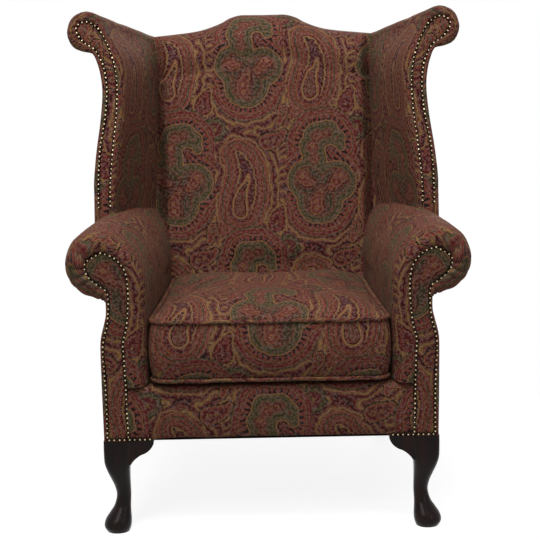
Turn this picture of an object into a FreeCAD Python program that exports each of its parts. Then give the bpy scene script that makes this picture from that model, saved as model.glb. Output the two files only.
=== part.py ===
"""Wingback armchair on two cabriole front legs: timber frame, webbing, pads, covers and a loose seat cushion.

Millimetres, +Z up, front towards -Y, +X to the sitter's left as seen from the front. The right-hand (+X)
pieces are modelled and the left-hand ones are their mirror images. The origin lies on the floor under the
middle of the whole chair.
"""
import FreeCAD, Part
import math
import os

from FreeCAD import Vector

# Driving dimensions: alias, millimetres, meaning
SIZES = (
    ("front_half", 368.0, "half width of the body at the front"),
    ("rear_half", 325.0, "half width of the body at the back"),
    ("facing_front", 393.0, "front of the facings, forward of the seat centre"),
    ("body_rear", 235.0, "back of the body below the seat, behind the seat centre"),
    ("rail_bottom", 212.0, "underside of the seat rails"),
    ("rail_height", 100.0, "height of the seat rails"),
    ("rail_width", 30.0, "thickness of the seat rails"),
    ("facing_pad", 5.0, "thickness of the facings over their posts"),
    ("cover", 3.5, "thickness of a cover with its wadding"),
    ("seam_gap", 0.4, "gap between two upholstered pieces at a seam"),
    ("web", 1.5, "thickness of the webbing"),
    ("web_width", 50.0, "width of a webbing strap"),
    ("arm_post_depth", 28.0, "thickness of the arm posts"),
    ("arm_inner_front", 264.0, "half width between the arms at the front"),
    ("arm_inner_rear", 231.0, "half width between the arms at the back"),
    ("roll_x", 365.0, "centre of the arm roll from the middle, at the front"),
    ("roll_height", 603.0, "height of the centre of the arm roll"),
    ("roll_radius", 75.0, "radius of the arm roll at the front"),
    ("roll_radius_rear", 68.0, "radius of the arm roll at the back"),
    ("roll_drop", 5.0, "fall of the arm roll from front to back"),
    ("arm_shoulder", 545.0, "height where the flat inner side of the arm turns into the roll"),
    ("arm_pad", 58.0, "thickness of the inner arm pad"),
    ("neck_height", 523.0, "height of the waist under the arm roll"),
    ("neck_in", 15.0, "how far the waist under the roll lies inside the body's side"),
    ("post_head", 38.0, "radius of the scroll head of an arm post"),
    ("post_width", 56.0, "width of an arm post at its foot"),
    ("board_width", 80.0, "width of the arm board inside the roll"),
    ("board_height", 20.0, "thickness of the arm board inside the roll"),
    ("edge_round", 14.0, "rounding of a padded front edge"),
    ("deck_height", 341.5, "top of the sprung deck under the cushion"),
    ("deck_edge", 334.0, "top of the deck where the arm pads stand on it"),
    ("border_front", 390.0, "front of the padded border, forward of the seat centre"),
    ("border_bottom", 225.0, "lower edge of the border between the legs"),
    ("border_tab", 50.0, "length of the lower tabs of the border beside the legs"),
    ("seat_rear", 112.0, "front of the back pad at the height of the cushion's top"),
    ("cushion_top", 478.0, "height of the cushion's upper seam"),
    ("back_rake", 13.0, "lean of the inside back, degrees"),
    ("frame_rake", 11.5, "lean of the back frame, degrees"),
    ("rake_start", 430.0, "height where the back frame starts to lean"),
    ("upright_width", 35.0, "width of a back upright"),
    ("upright_depth", 45.0, "depth of a back upright"),
    ("back_half", 282.0, "half width of the inside back"),
    ("back_crown", 90.0, "width of the rounded margin of the inside back"),
    ("crest_height", 1122.0, "height of the top of the back"),
    ("crest_flat", 60.0, "half length of the flat top of the crest"),
    ("crest_end", 1071.0, "height of the crest where it meets the wings"),
    ("crest_pad", 14.0, "padding over the crest rail"),
    ("crest_rail_height", 90.0, "height of the crest rail at its middle"),
    ("wing_base", 655.0, "height at which the wing's front edge is given"),
    ("wing_front", 90.0, "front of the wing at its base, forward of the seat centre"),
    ("wing_lean", 10.3, "lean of the wing's front edge, degrees"),
    ("wing_foot", 366.0, "half width to the inner nail line of the wing at its base"),
    ("wing_waist", 345.0, "half width to the inner nail line at the wing's waist"),
    ("wing_waist_height", 954.0, "height of the wing's waist"),
    ("wing_width", 28.0, "width between the two nail lines of the wing"),
    ("scroll_x", 416.0, "centre of the wing's scroll from the middle"),
    ("scroll_height", 1094.0, "height of the centre of the wing's scroll"),
    ("scroll_radius", 22.0, "radius of the nail line round the scroll"),
    ("scroll_pad", 23.5, "padding outside the nail line round the scroll"),
    ("wing_margin", 11.0, "padded margin beside a nail line of the wing"),
    ("post_margin", 4.0, "margin of a facing outside its nail lines"),
    ("wing_post_depth", 28.0, "thickness of a wing post"),
    ("wing_pad", 30.0, "thickness of the inner wing pad"),
    ("wing_seam", 262.0, "half width of the wing pad where it ends behind the back pad"),
    ("leg_outer", 369.0, "outer side of a front leg at its top"),
    ("leg_head", 60.0, "width of a front leg at its top"),
    ("knee_width", 59.0, "width of the knee"),
    ("ankle_width", 32.0, "thickness of the ankle"),
    ("ankle_in", 21.5, "how far the ankle's outer side lies inside the leg's outer side"),
    ("foot_width", 54.0, "width of the pad foot"),
    ("ear_length", 50.0, "length of a knee bracket"),
    ("ear_height", 55.0, "height of a knee bracket at the leg"),
    ("ear_depth", 24.0, "thickness of a knee bracket"),
    ("rear_foot", 28.0, "width of a rear leg at the floor"),
    ("rear_sweep", 124.0, "how far a rear foot stands behind the top of its leg"),
    ("block_leg", 60.0, "length of a corner block along each rail"),
    ("bolt_radius", 4.0, "radius of a leg bolt"),
    ("bolt_fit", 0.2, "clearance round a leg bolt"),
    ("bolt_length", 80.0, "length of a leg bolt"),
    ("dust_cloth", 1.5, "thickness of the dust cover"),
    ("cushion_front", 405.0, "front of the cushion, forward of the seat centre"),
    ("cushion_side_gap", 1.5, "gap between the cushion and an arm"),
    ("cushion_rear_gap", 6.0, "gap between the cushion and the back pad"),
    ("cushion_rest_gap", 0.3, "gap between the cushion and the deck"),
    ("cushion_seam", 347.0, "height of the cushion's lower seam"),
    ("cushion_crown", 27.0, "rise of the cushion above its upper seam"),
    ("cushion_corner", 34.0, "corner radius of the cushion"),
    ("cushion_draw", 5.0, "how far the cushion's sides draw in between the corners"),
    ("casing", 2.0, "thickness of the cushion cover"),
    ("piping", 4.5, "radius of the piping cord"),
    ("zip_half", 170.0, "half length of the zip"),
    ("zip_width", 7.0, "width of the zip's chain"),
    ("zip_depth", 1.5, "height of the zip's chain above the cover"),
    ("slider_length", 14.0, "length of the zip's slider"),
)

OUTPUT = "parts"
SHEET = "Sizes"

doc = FreeCAD.newDocument("wingback_armchair")
sheet = doc.addObject("Spreadsheet::Sheet", SHEET)
for row, (alias, amount, meaning) in enumerate(SIZES, start=1):
    sheet.set("A%d" % row, meaning)
    sheet.set("B%d" % row, str(amount))
    sheet.setAlias("B%d" % row, alias)
doc.recompute()


def size(alias):
    """The value of a cell of the sheet."""
    return float(getattr(sheet, alias))


pieces = []
mirrored = []


def keep(piece, label):
    """Lists a document object as a sub-part under its own label."""
    piece.Label = label
    pieces.append(piece)
    return piece


def feature(label, shape):
    """A sub-part whose shape is worked out here from the sheet."""
    piece = doc.addObject("Part::Feature", label)
    piece.Shape = shape
    return keep(piece, label)


def pair(name, shape):
    """A right-hand sub-part and its mirror image."""
    right = feature(name + "_right", shape)
    left = doc.addObject("Part::Mirroring", name + "_left")
    left.Source = right
    left.Normal = (1, 0, 0)
    left.Base = (0, 0, 0)
    mirrored.append(left)
    return keep(left, name + "_left")


def board(label, length, width, height, corner):
    """A straight rail: a box whose three sizes are expressions on the sheet."""
    piece = doc.addObject("Part::Box", label)
    piece.setExpression("Length", length)
    piece.setExpression("Width", width)
    piece.setExpression("Height", height)
    piece.Placement.Base = corner
    return keep(piece, label)


# Planes of the chair
def side_x(y):
    """Half width of the body at a depth: the sides run in towards the back."""
    share = (y + size("facing_front")) / (size("facing_front") + size("body_rear"))
    return size("front_half") + share * (size("rear_half") - size("front_half"))


def back_y(z):
    """Depth of the outside of the back at a height."""
    lean = math.tan(math.radians(size("frame_rake")))
    return size("body_rear") + max(0.0, z - size("rake_start")) * lean


def raked_y(z):
    """Depth of the outside of the back frame on its leaning plane, also below the bend."""
    lean = math.tan(math.radians(size("frame_rake")))
    return size("body_rear") + (z - size("rake_start")) * lean


def web_y(z):
    """Depth of the front of the back webbing, where the back pad ends."""
    return raked_y(z) - size("cover") - size("upright_depth") - size("web")


def inner_y(z):
    """Depth of the front of the inside back at its middle."""
    lean = math.tan(math.radians(size("back_rake")))
    return size("seat_rear") + (z - size("cushion_top")) * lean


def wing_y(z):
    """Depth of the wing's front edge at a height."""
    lean = math.tan(math.radians(size("wing_lean")))
    return -size("wing_front") + (z - size("wing_base")) * lean


# Profiles: a start point, then pairs of a mid point (None for a straight run) and an end point
def offset(profile, inwards):
    """The profile moved to its left by a distance, point by point."""
    points = [point for point in profile if point is not None]
    moved = {}
    for index, point in enumerate(points):
        before = points[max(index - 1, 0)]
        after = points[min(index + 1, len(points) - 1)]
        run_x, run_z = after[0] - before[0], after[1] - before[1]
        length = math.hypot(run_x, run_z)
        moved[index] = (point[0] - inwards * run_z / length, point[1] + inwards * run_x / length)
    result, index = [], 0
    for point in profile:
        if point is None:
            result.append(None)
            continue
        result.append(moved[index])
        index += 1
    return result


def loop(profile, place):
    """A closed wire through a profile, each point put in space by place(x, z)."""
    edges = []
    points = list(profile) + [None, profile[0]]
    for index in range(0, len(points) - 2, 2):
        start, mid, end = points[index:index + 3]
        if math.dist(start, end) < 1e-6:
            continue
        if mid is None:
            edges.append(Part.LineSegment(place(*start), place(*end)).toShape())
        else:
            edges.append(Part.Arc(place(*start), place(*mid), place(*end)).toShape())
    return Part.Wire(edges)


def at(plane, offset_y=0.0):
    """Puts (x, z) on a plane: a fixed depth, or a function of the height."""
    if callable(plane):
        return lambda x, z: Vector(x, plane(z) + offset_y, z)
    return lambda x, z: Vector(x, plane + offset_y, z)


def corners_of(wires, step):
    """The corners of wires whose arcs become straight pieces that turn by a step in degrees."""
    rows = [wire.OrderedEdges for wire in wires]
    counts = []
    for edges in zip(*rows):
        turns = [edge.LastParameter - edge.FirstParameter for edge in edges
                 if edge.Curve.TypeId == "Part::GeomCircle"]
        counts.append(max(2, math.ceil(math.degrees(max(turns)) / step - 0.01)) if turns else 1)
    result = []
    for edges in rows:
        points = []
        for edge, count in zip(edges, counts):
            points += edge.discretize(Number=count + 1)[:-1]
        result.append(points + points[:1])
    return result


def panels(a, b, c, d):
    """One flat face between four corners, or two where they don't lie in a plane."""
    lean = (b - a).cross(d - a)
    if lean.Length and abs((c - a).dot(lean)) / lean.Length < 1e-6:
        return [Part.Face(Part.makePolygon([a, b, c, d, a]))]
    return [Part.Face(Part.makePolygon([a, b, c, a])), Part.Face(Part.makePolygon([a, c, d, a]))]


def faceted(wires, step):
    """A closed solid through wires from flat faces only, for stuffed forms and carved legs."""
    rows = corners_of(wires, step)
    faces = [Part.Face(Part.makePolygon(rows[0])), Part.Face(Part.makePolygon(rows[-1]))]
    for low, high in zip(rows, rows[1:]):
        for index in range(len(low) - 1):
            faces += panels(low[index], low[index + 1], high[index + 1], high[index])
    solid = Part.makeSolid(Part.makeShell(faces))
    if solid.Volume < 0:
        solid.reverse()
    return solid


def skinned(wires):
    """A closed solid through wires with equal numbers of edges, straight from one to the next."""
    solid = Part.makeLoft(wires, True, True)
    if solid.Volume < 0:
        solid.reverse()
    return solid


def slab(profile, plane, front, depth, grow=0.0):
    """A board of constant depth along Y whose front lies on a plane, its outline grown by a distance."""
    outline = loop(profile, at(plane, front))
    if grow:
        outline = outline.makeOffset2D(grow)
    face = Part.Face(outline)
    return face.extrude(Vector(0, depth, 0))


def largest(shape):
    """The largest solid of a shape."""
    return max(shape.Solids, key=lambda solid: solid.Volume)


def carve(shape, *neighbours):
    """What is left of a pad when its neighbours are cut out of it."""
    for neighbour in neighbours:
        shape = shape.cut([neighbour], 0.01)
    return largest(shape)


def across(points, half):
    """A prism along X from a polygon of (y, z) points, from -half to +half."""
    corners = [Vector(-half, y, z) for y, z in points]
    return Part.Face(Part.makePolygon(corners + corners[:1])).extrude(Vector(2 * half, 0, 0))


def run_of_side(front, y_front, rear, y_rear):
    """A solid between a front profile and a rear profile, both upright."""
    return skinned([loop(front, at(y_front)), loop(rear, at(y_rear))])


RAIL_TOP = size("rail_bottom") + size("rail_height")
POST_FRONT = -size("facing_front") + size("facing_pad")
POST_REAR = POST_FRONT + size("arm_post_depth")
RAIL_REAR = POST_REAR + size("rail_width")
ROLL_START = -size("facing_front") - 3.0
FRAME_REAR = size("body_rear") - size("cover")
UPRIGHT_FRONT = FRAME_REAR - size("upright_depth")
SIDE_INSET = size("cover") + size("seam_gap")
UPRIGHT_OUTER = size("rear_half") - SIDE_INSET
ROLL_END = back_y(size("roll_height")) + 40.0
TOP_OF_ALL = size("scroll_height") + size("scroll_radius") + size("scroll_pad") + 20.0


def behind(inset):
    """Everything behind the outside of the back, less an inset."""
    far, low, high = size("body_rear") + 600.0, -10.0, TOP_OF_ALL
    line = [(back_y(z) - inset, z) for z in (low, size("rake_start"), high)]
    return across(line + [(far, high), (far, low)], 2 * size("front_half"))


def back_frame_space(high):
    """The space of the back frame and its webbing between the side covers, up to a height."""
    low, bend = size("rail_bottom") - 20.0, size("rake_start")
    thick = size("upright_depth") + size("cover") + size("web")
    front = [(back_y(z) - thick, z) for z in (low, bend, high)]
    rear = [(back_y(z) + 5.0, z) for z in (high, bend, low)]
    return across(front + rear, size("rear_half") - size("cover"))


# Leg bolts, driven up through the leg heads into the frame
def bolt_places():
    """Bolt axes on the right-hand side, front leg and rear leg: x and y of each."""
    front_y = POST_REAR + size("rail_width") / 2
    front_x = side_x(RAIL_REAR) - SIDE_INSET - size("rail_width") / 2
    rear_y = UPRIGHT_FRONT + size("upright_depth") / 2
    rear_x = UPRIGHT_OUTER - size("upright_width") / 2
    return ((front_x, front_y), (rear_x, rear_y))


def bolt(x, y, extra=0.0):
    """One hanger bolt, half in the leg and half in the frame."""
    start = Vector(x, y, size("rail_bottom") - size("bolt_length") / 2 - extra)
    return Part.makeCylinder(size("bolt_radius") + extra, size("bolt_length") + 2 * extra, start)


bolt_spots = [(side * x, y) for side in (1, -1) for x, y in bolt_places()]
bolt_holes = Part.makeCompound([bolt(x, y, size("bolt_fit")) for x, y in bolt_spots])


# Seat frame
def mirror_x(shape):
    """The shape on the other side of the chair."""
    return shape.mirror(Vector(0, 0, 0), Vector(1, 0, 0))


def seat_frame():
    """Front, back and side rails, the stay rail of the back and the corner blocks."""
    front_end = side_x(RAIL_REAR) - SIDE_INSET
    front_low = size("border_bottom") + size("web")
    front = Part.makeBox(2 * front_end, size("rail_width"), RAIL_TOP + size("web") - front_low,
                         Vector(-front_end, POST_REAR, front_low))
    feature("front_rail", front.cut(bolt_holes))
    rear_inner = UPRIGHT_OUTER - size("upright_width")
    rear_y = UPRIGHT_FRONT + (size("upright_depth") - size("rail_width")) / 2
    between = "2 * (Sizes.rear_half - Sizes.cover - Sizes.seam_gap - Sizes.upright_width)"
    board("back_rail", between, "Sizes.rail_width", "Sizes.rail_height + Sizes.web",
          Vector(-rear_inner, rear_y, size("rail_bottom")))
    board("back_stay_rail", between, "Sizes.rail_width", "Sizes.upright_width",
          Vector(-rear_inner, rear_y, size("rake_start") - size("upright_width") - 10.0))

    def section(y):
        outer = side_x(y) - SIDE_INSET
        low, high = size("rail_bottom"), RAIL_TOP
        return [(outer, low), None, (outer, high), None, (outer - size("rail_width"), high),
                None, (outer - size("rail_width"), low)]

    pair("side_rail", run_of_side(section(RAIL_REAR), RAIL_REAR, section(UPRIGHT_FRONT), UPRIGHT_FRONT))
    blocks = []
    leg = size("block_leg")
    low, high = size("rail_bottom") + 20.0, RAIL_TOP - 10.0
    corners = ((side_x(RAIL_REAR) - SIDE_INSET - size("rail_width"), RAIL_REAR, 1),
               (rear_inner, rear_y, -1))
    for x, y, back in corners:
        far_x = min(x, side_x(y + back * leg) - SIDE_INSET - size("rail_width"))
        points = [Vector(x, y, low), Vector(far_x, y + back * leg, low), Vector(x - leg, y, low)]
        block = Part.Face(Part.makePolygon(points + points[:1])).extrude(Vector(0, 0, high - low))
        blocks += [block, mirror_x(block)]
    feature("corner_blocks", Part.makeCompound(blocks))


# Arms
def arm_skin(rear=False, inset=0.0):
    """Outline of an arm from the deck up the inner side, over the roll and down to the waist."""
    radius = size("roll_radius_rear") if rear else size("roll_radius")
    run_in = size("front_half") - size("rear_half") if rear else 0.0
    x = size("roll_x") - run_in + (size("roll_radius") - radius)
    z = size("roll_height") - (size("roll_drop") if rear else 0.0)
    inner = size("arm_inner_rear") if rear else size("arm_inner_front")
    shoulder = size("arm_shoulder")
    top = z + radius
    half = math.sqrt(0.5)
    neck = size("rear_half") if rear else size("front_half") - size("neck_in")
    skin = [(inner, size("deck_edge")), None, (inner, shoulder),
            (x - (x - inner) * half, shoulder + (top - shoulder) * half), (x, top),
            (x + radius, z), (x, z - radius), None, (neck, size("neck_height"))]
    return offset(skin, -inset)


def arm_section(rear=False, inset=0.0, grow=0.0):
    """Closed section of an arm pad: its skin and its flat backing."""
    skin = arm_skin(rear, inset - grow)
    inner = size("arm_inner_rear") if rear else size("arm_inner_front")
    back = inner + size("arm_pad")
    low = size("deck_edge")
    skin[0] = (skin[0][0], low)
    neck = size("neck_height") - grow
    skin[-1] = (skin[-1][0], neck)
    return skin + [None, (back, neck), None, (back, low)]


def arm_volume(grow=0.0):
    """An arm pad before the frame is cut out of it, rounded at the front."""
    rounding = size("edge_round")
    steps = ((0.0, 1.0), (0.12, 0.55), (0.45, 0.15), (1.0, 0.0))
    wires = []
    for depth, share in steps:
        section = arm_section(inset=share * rounding, grow=grow)
        wires.append(loop(section, at(ROLL_START + depth * rounding)))
    wires.append(loop(arm_section(rear=True, grow=grow), at(ROLL_END)))
    return faceted(wires, 24.0)


def arm_post_outline():
    """Outline of an arm post and its facing: S-shaped sides under a scroll head."""
    head_x, head_z = size("roll_x") - 5.0, size("roll_height") - 3.0
    radius = size("post_head")
    foot = size("rail_bottom")
    outer = side_x(POST_FRONT) - SIDE_INSET - 1.0
    inner = outer - size("post_width")
    neck_z = size("neck_height") - 5.0
    neck = size("front_half") - size("neck_in") - 3.0
    swell = neck_z - 100.0
    crown = head_z + radius
    half = math.sqrt(0.5)
    belly = (head_x - 61.0, size("arm_shoulder") + 5.0)
    return [(inner, foot), None, (inner + 4.0, swell - 20.0),
            (inner - 3.0, swell + 60.0), belly,
            (head_x - (head_x - belly[0]) * half, belly[1] + (crown - belly[1]) * half), (head_x, crown),
            (head_x + radius, head_z), (head_x + 2.0, head_z - radius),
            (neck + 3.0, neck_z + 24.0), (neck - 4.0, neck_z),
            (neck + 4.0, swell + 52.0), (outer, swell), None, (outer, foot)]


def arm_board_section(rear=False):
    """Section of the flat board inside the arm roll."""
    run_in = size("front_half") - size("rear_half") if rear else 0.0
    x = size("roll_x") - run_in
    low = size("roll_height") - size("board_height") - 8.0
    high = low + size("board_height")
    half = size("board_width") / 2
    if not rear:
        half = min(half, size("post_head") - 4.0)
    return [(x - half, low), None, (x - half, high), None, (x + half, high), None, (x + half, low)]


def arm_parts():
    """Posts, boards, pads, facings and outside covers of the two arms."""
    post = slab(arm_post_outline(), POST_FRONT, 0.0, size("arm_post_depth"))
    seam = size("seam_gap")
    recess = slab(arm_post_outline(), POST_REAR, 0.0, -size("arm_post_depth") - 40.0, seam / 2)
    panel = outside_arm()
    pair("arm_post", largest(post.cut(panel)))
    arm_board = run_of_side(arm_board_section(), POST_REAR, arm_board_section(rear=True), ROLL_END)
    arm_board = largest(arm_board.cut(behind(size("cover") + size("upright_depth"))))
    pair("arm_board", arm_board)
    frame_cut = back_frame_space(TOP_OF_ALL)
    pad = carve(arm_volume(), recess, arm_board, wing_post_solid(seam), frame_cut, behind(SIDE_INSET))
    pair("arm_pad", pad)
    facing = slab(arm_post_outline(), POST_FRONT, -size("facing_pad"), size("facing_pad"))
    pair("arm_facing", facing)
    pair("outside_arm", panel)


def outside_arm():
    """The thin cover of the arm's outer side, from the waist under the roll to the rail's underside."""
    def section(run_in, waist):
        side = size("front_half") - run_in
        neck = side - waist
        thick = size("cover")
        swell = size("neck_height") - 100.0
        mid = (side - 0.6 * waist - 0.4, (swell + size("neck_height")) / 2)
        low = size("rail_bottom")
        top = size("neck_height") - size("seam_gap")
        return [(neck, top), mid, (side, swell), None, (side, low), None, (side - thick, low),
                None, (side - thick, swell), (mid[0] - thick, mid[1]), (neck - thick, top)]

    run_in = size("front_half") - size("rear_half")
    rear = section(run_in, 0.0)
    end = back_y(size("neck_height")) + 10.0
    panel = skinned([loop(section(0.0, size("neck_in")), at(POST_FRONT - 1.0)),
                     loop(rear, at(size("body_rear"))), loop(rear, at(end))])
    return largest(panel.cut(behind(SIDE_INSET)))


# Wings
def wing_inner_line(inwards=0.0):
    """Inner nail line of a wing from its base to the top of the scroll, moved towards the sitter."""
    foot, waist = size("wing_foot"), size("wing_waist")
    base, level = size("wing_base"), size("wing_waist_height")
    x, z, radius = size("scroll_x"), size("scroll_height"), size("scroll_radius")
    line = [(foot - 3.0, base - 60.0), (foot, base + 60.0), (foot - 7.0, base + 153.0),
            (waist + 5.0, level - 75.0), (waist, level),
            (waist + 9.0, level + 74.0), (x - 35.0, z - 1.5),
            (x - 21.0, z + 13.0), (x, z + radius)]
    return offset(line, inwards)


def wing_outer_line(outwards=0.0):
    """Outer nail line of a wing from the top of the scroll down to its base, moved outwards."""
    foot, waist = size("wing_foot") + size("wing_width"), size("wing_waist") + size("wing_width") - 4.0
    base, level = size("wing_base"), size("wing_waist_height")
    x, z, radius = size("scroll_x"), size("scroll_height"), size("scroll_radius")
    line = [(x, z + radius), (x + radius + 1.0, z), (x + 6.0, z - 25.5),
            (x - 21.0, z - 44.0), (x - 37.0, z - 75.0),
            (waist, level - 2.0), (foot - 18.0, base + 229.0),
            (foot - 5.0, base + 158.0), (foot - 0.5, base + 90.0),
            (foot, base + 40.0), (foot - 3.0, base - 60.0)]
    return offset(line, outwards)


def wing_outline():
    """Closed outline of a wing post or its facing: the area between the nail lines and a margin."""
    margin = size("post_margin")
    inner = wing_inner_line(margin)
    outer = wing_outer_line(margin)
    middle = (size("scroll_x"), size("scroll_height") + size("scroll_radius") + margin)
    inner[-1] = outer[0] = middle
    return inner + outer[1:]


def wing_post_solid(grow=0.0, reach=0.0):
    """A wing post: a leaning S-shaped board with a scroll head, standing on the arm board."""
    depth = size("wing_post_depth") + grow + reach
    post = slab(wing_outline(), wing_y, size("facing_pad") - reach, depth, grow)
    floor = size("roll_height") - 8.0
    below = Part.makeBox(900.0, 900.0, floor, Vector(0, -600, 0))
    return post.cut(below)


def wing_skin(inset=0.0):
    """Padded outline at the wing's front: inner side, over the scroll and under it to the notch."""
    inner = wing_inner_line(size("wing_margin"))
    x, z = size("scroll_x"), size("scroll_height")
    radius = size("scroll_radius") + size("scroll_pad")
    half = math.sqrt(0.5)
    shoulder = (x - radius + 1.0, z + 3.0)
    skin = inner[:5] + [(size("wing_waist") - 4.0, size("wing_waist_height") + 76.0), shoulder,
                        (x - radius * half, z + radius * half), (x, z + radius),
                        (x + radius, z), (x + 2.0, z - radius - 3.0), None, (x - 14.0, z - radius - 6.0)]
    return offset(skin, -inset)


def wing_section(inset=0.0, grow=0.0):
    """Closed front section of a wing pad: its skin and its backing."""
    skin = wing_skin(inset - grow)
    base = size("wing_base") - 65.0
    skin[0] = (skin[0][0], base)
    end_x, end_z = skin[-1]
    thick = size("wing_pad")
    waist, foot = size("wing_waist"), size("wing_foot")
    return skin + [None, (end_x - 24.0, end_z - 12.0),
                   (waist + thick - 14.0, size("wing_waist_height")),
                   (waist + thick - 6.0, size("wing_base") + 200.0),
                   (foot + thick - 13.0, size("wing_base") + 70.0), (foot + thick - 16.0, base)]


def wing_rear_section(grow=0.0):
    """Closed rear section of a wing pad, behind the back pad: a plain upright slab with a round top."""
    seam, thick = size("wing_seam") - grow, size("wing_pad") + 2 * grow
    base, top = size("wing_base") - 65.0, size("crest_end") + grow
    level = size("wing_waist_height")
    return [(seam, base), (seam - 0.4, base + 100.0), (seam, base + 218.0),
            (seam - 0.4, level - 40.0), (seam, level), (seam - 0.4, top - 70.0), (seam, top - 32.0),
            (seam + 4.0, top - 11.0), (seam + 22.0, top), (seam + 50.0, top - 9.0), (seam + 58.0, top - 22.0),
            None, (seam + 56.0, top - 32.0), None, (seam + thick, top - 36.0),
            (seam + thick + 0.4, level), (seam + thick, base + 200.0),
            (seam + thick + 0.4, base + 100.0), (seam + thick, base)]


def wing_volume(grow=0.0):
    """A wing pad before other pieces are cut out of it, rounded at the front."""
    rounding = size("edge_round")
    wires = []
    for depth, share in ((0.0, 0.8), (0.12, 0.4), (0.4, 0.1), (0.8, 0.0)):
        section = wing_section(inset=share * rounding, grow=grow)
        wires.append(loop(section, at(wing_y, depth * rounding - 3.0)))
    wires.append(loop(wing_rear_section(grow), at(web_y)))
    wires.append(loop(wing_rear_section(grow), at(raked_y, -size("cover") - size("seam_gap"))))
    return faceted(wires, 24.0)


def wing_rail_section(front):
    """Section of the rail that runs from a wing post back to an upright."""
    if front:
        x, z = size("scroll_x") - 54.0, size("scroll_height") - 64.0
    else:
        x, z = UPRIGHT_OUTER - 20.0, size("crest_end") - 74.0
    return [(x, z), None, (x, z + 32.0), None, (x + 20.0, z + 32.0), None, (x + 20.0, z)]


def outside_wing():
    """The thin cover of the wing's outer side, from its front edge to the back's outer edge."""
    thick = size("cover")
    outer = wing_outer_line(size("wing_margin"))
    notch = size("scroll_height") - size("scroll_radius") - size("scroll_pad") - 7.0
    front = [(size("scroll_x") - 15.0, notch)]
    front += outer[5:]
    back = [point and (point[0] - thick, point[1]) for point in reversed(front)]
    side = size("rear_half")
    heights = [size("crest_end") - 20.0] + [point[1] for point in front[1:]]
    bulge = [0.4 * (index % 2) for index in range(len(front))]
    rear = [(side + more, height) for height, more in zip(heights, bulge)]
    inside = [(side - thick + more, height) for height, more in zip(heights, bulge)]
    front_wire = loop(front + [None] + back, at(wing_y, 2.0))
    rear_wire = loop(rear + [None] + list(reversed(inside)), at(raked_y, -SIDE_INSET))
    return faceted([front_wire, rear_wire], 24.0)


def wing_parts():
    """Posts, rails, pads, facings and outside covers of the two wings."""
    post = wing_post_solid()
    rail_start = at(wing_y, size("facing_pad") + size("wing_post_depth"))
    rail_end = at(raked_y, -size("cover") - size("upright_depth"))
    rail = skinned([loop(wing_rail_section(True), rail_start), loop(wing_rail_section(False), rail_end)])
    panel = outside_wing()
    arms = arm_volume(size("seam_gap"))
    pair("wing_post", largest(post.cut(panel)))
    pair("wing_rail", rail)
    recess = wing_post_solid(size("seam_gap") / 2, 40.0)
    frame = back_frame_space(size("crest_end") - 26.0)
    crest = crest_board(0.0, size("upright_depth"))
    pair("wing_pad", carve(wing_volume(), recess, arms, rail, panel, frame, crest))
    facing = slab(wing_outline(), wing_y, 0.0, size("facing_pad"))
    pair("wing_facing", largest(facing.cut(arms)))
    pair("outside_wing", largest(panel.cut(arms)))


# Back
def crest_outline(half, inset, low):
    """Outline of the back from the front: upright sides under a serpentine crest."""
    flat, high = size("crest_flat"), size("crest_height") - inset
    end = size("crest_end") - inset
    width, drop = half - inset - flat, high - end
    right = [(flat, high), (flat + 0.12 * width, high - 0.16 * drop),
             (flat + 0.23 * width, high - 0.41 * drop),
             (flat + 0.45 * width, high - 0.73 * drop), (half - inset, end)]
    left = [(-x, z) for x, z in reversed(right)]
    return [(inset - half, low + inset), None] + left + [None] + right + [None, (half - inset, low + inset)]


def uprights():
    """The two back posts: upright behind the seat and leaning above it."""
    top = size("crest_end") - 26.0
    bend = size("rake_start")
    levels = (size("rail_bottom"), bend, top)
    rear = [(back_y(z) - size("cover"), z) for z in levels]
    front = [(y - size("upright_depth"), z) for y, z in reversed(rear)]
    post = across(rear + front, size("upright_width") / 2)
    post.translate(Vector(UPRIGHT_OUTER - size("upright_width") / 2, 0, 0))
    pair("back_upright", post.cut(bolt_holes))


def crest_board(low, depth):
    """A board under the crest's padding, as wide as the gap between the uprights."""
    margin = size("crest_pad")
    half = UPRIGHT_OUTER - size("upright_width")
    outline = crest_outline(half + margin, margin, low - margin)
    return slab(outline, raked_y, -size("cover") - depth, depth)


def crest_rail():
    """The serpentine top rail between the uprights."""
    low = size("crest_height") - size("crest_pad") - size("crest_rail_height")
    feature("crest_rail", crest_board(low, size("upright_depth") - 12.0))


def webbing():
    """Straps over the seat rails, and across the back uprights."""
    rail_y = UPRIGHT_FRONT + (size("upright_depth") - size("rail_width")) / 2
    start, end = POST_REAR + 6.0, rail_y + size("rail_width") - 6.0
    width = size("web_width")
    straps = []
    for number in range(-2, 3):
        x = number * 1.8 * width - width / 2
        straps.append(Part.makeBox(width, end - start, size("web"), Vector(x, start, RAIL_TOP + size("web"))))
    feature("seat_webbing_long", Part.makeCompound(straps))
    straps = []
    first, last = RAIL_REAR + 15.0, UPRIGHT_FRONT - width - 10.0
    for number in range(5):
        y = first + number * (last - first) / 4
        half = side_x(y + width) - SIDE_INSET - 6.0
        straps.append(Part.makeBox(2 * half, width, size("web"), Vector(-half, y, RAIL_TOP)))
    feature("seat_webbing_cross", Part.makeCompound(straps))
    straps = []
    low, high = size("rake_start") + 40.0, size("crest_end") - 90.0
    for number in range(5):
        z = low + number * (high - low) / 4
        band = [(web_y(z), z), (web_y(z) + size("web"), z), (web_y(z + width) + size("web"), z + width),
                (web_y(z + width), z + width)]
        straps.append(across(band, UPRIGHT_OUTER - 22.0))
    feature("back_webbing", Part.makeCompound(straps))


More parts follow.
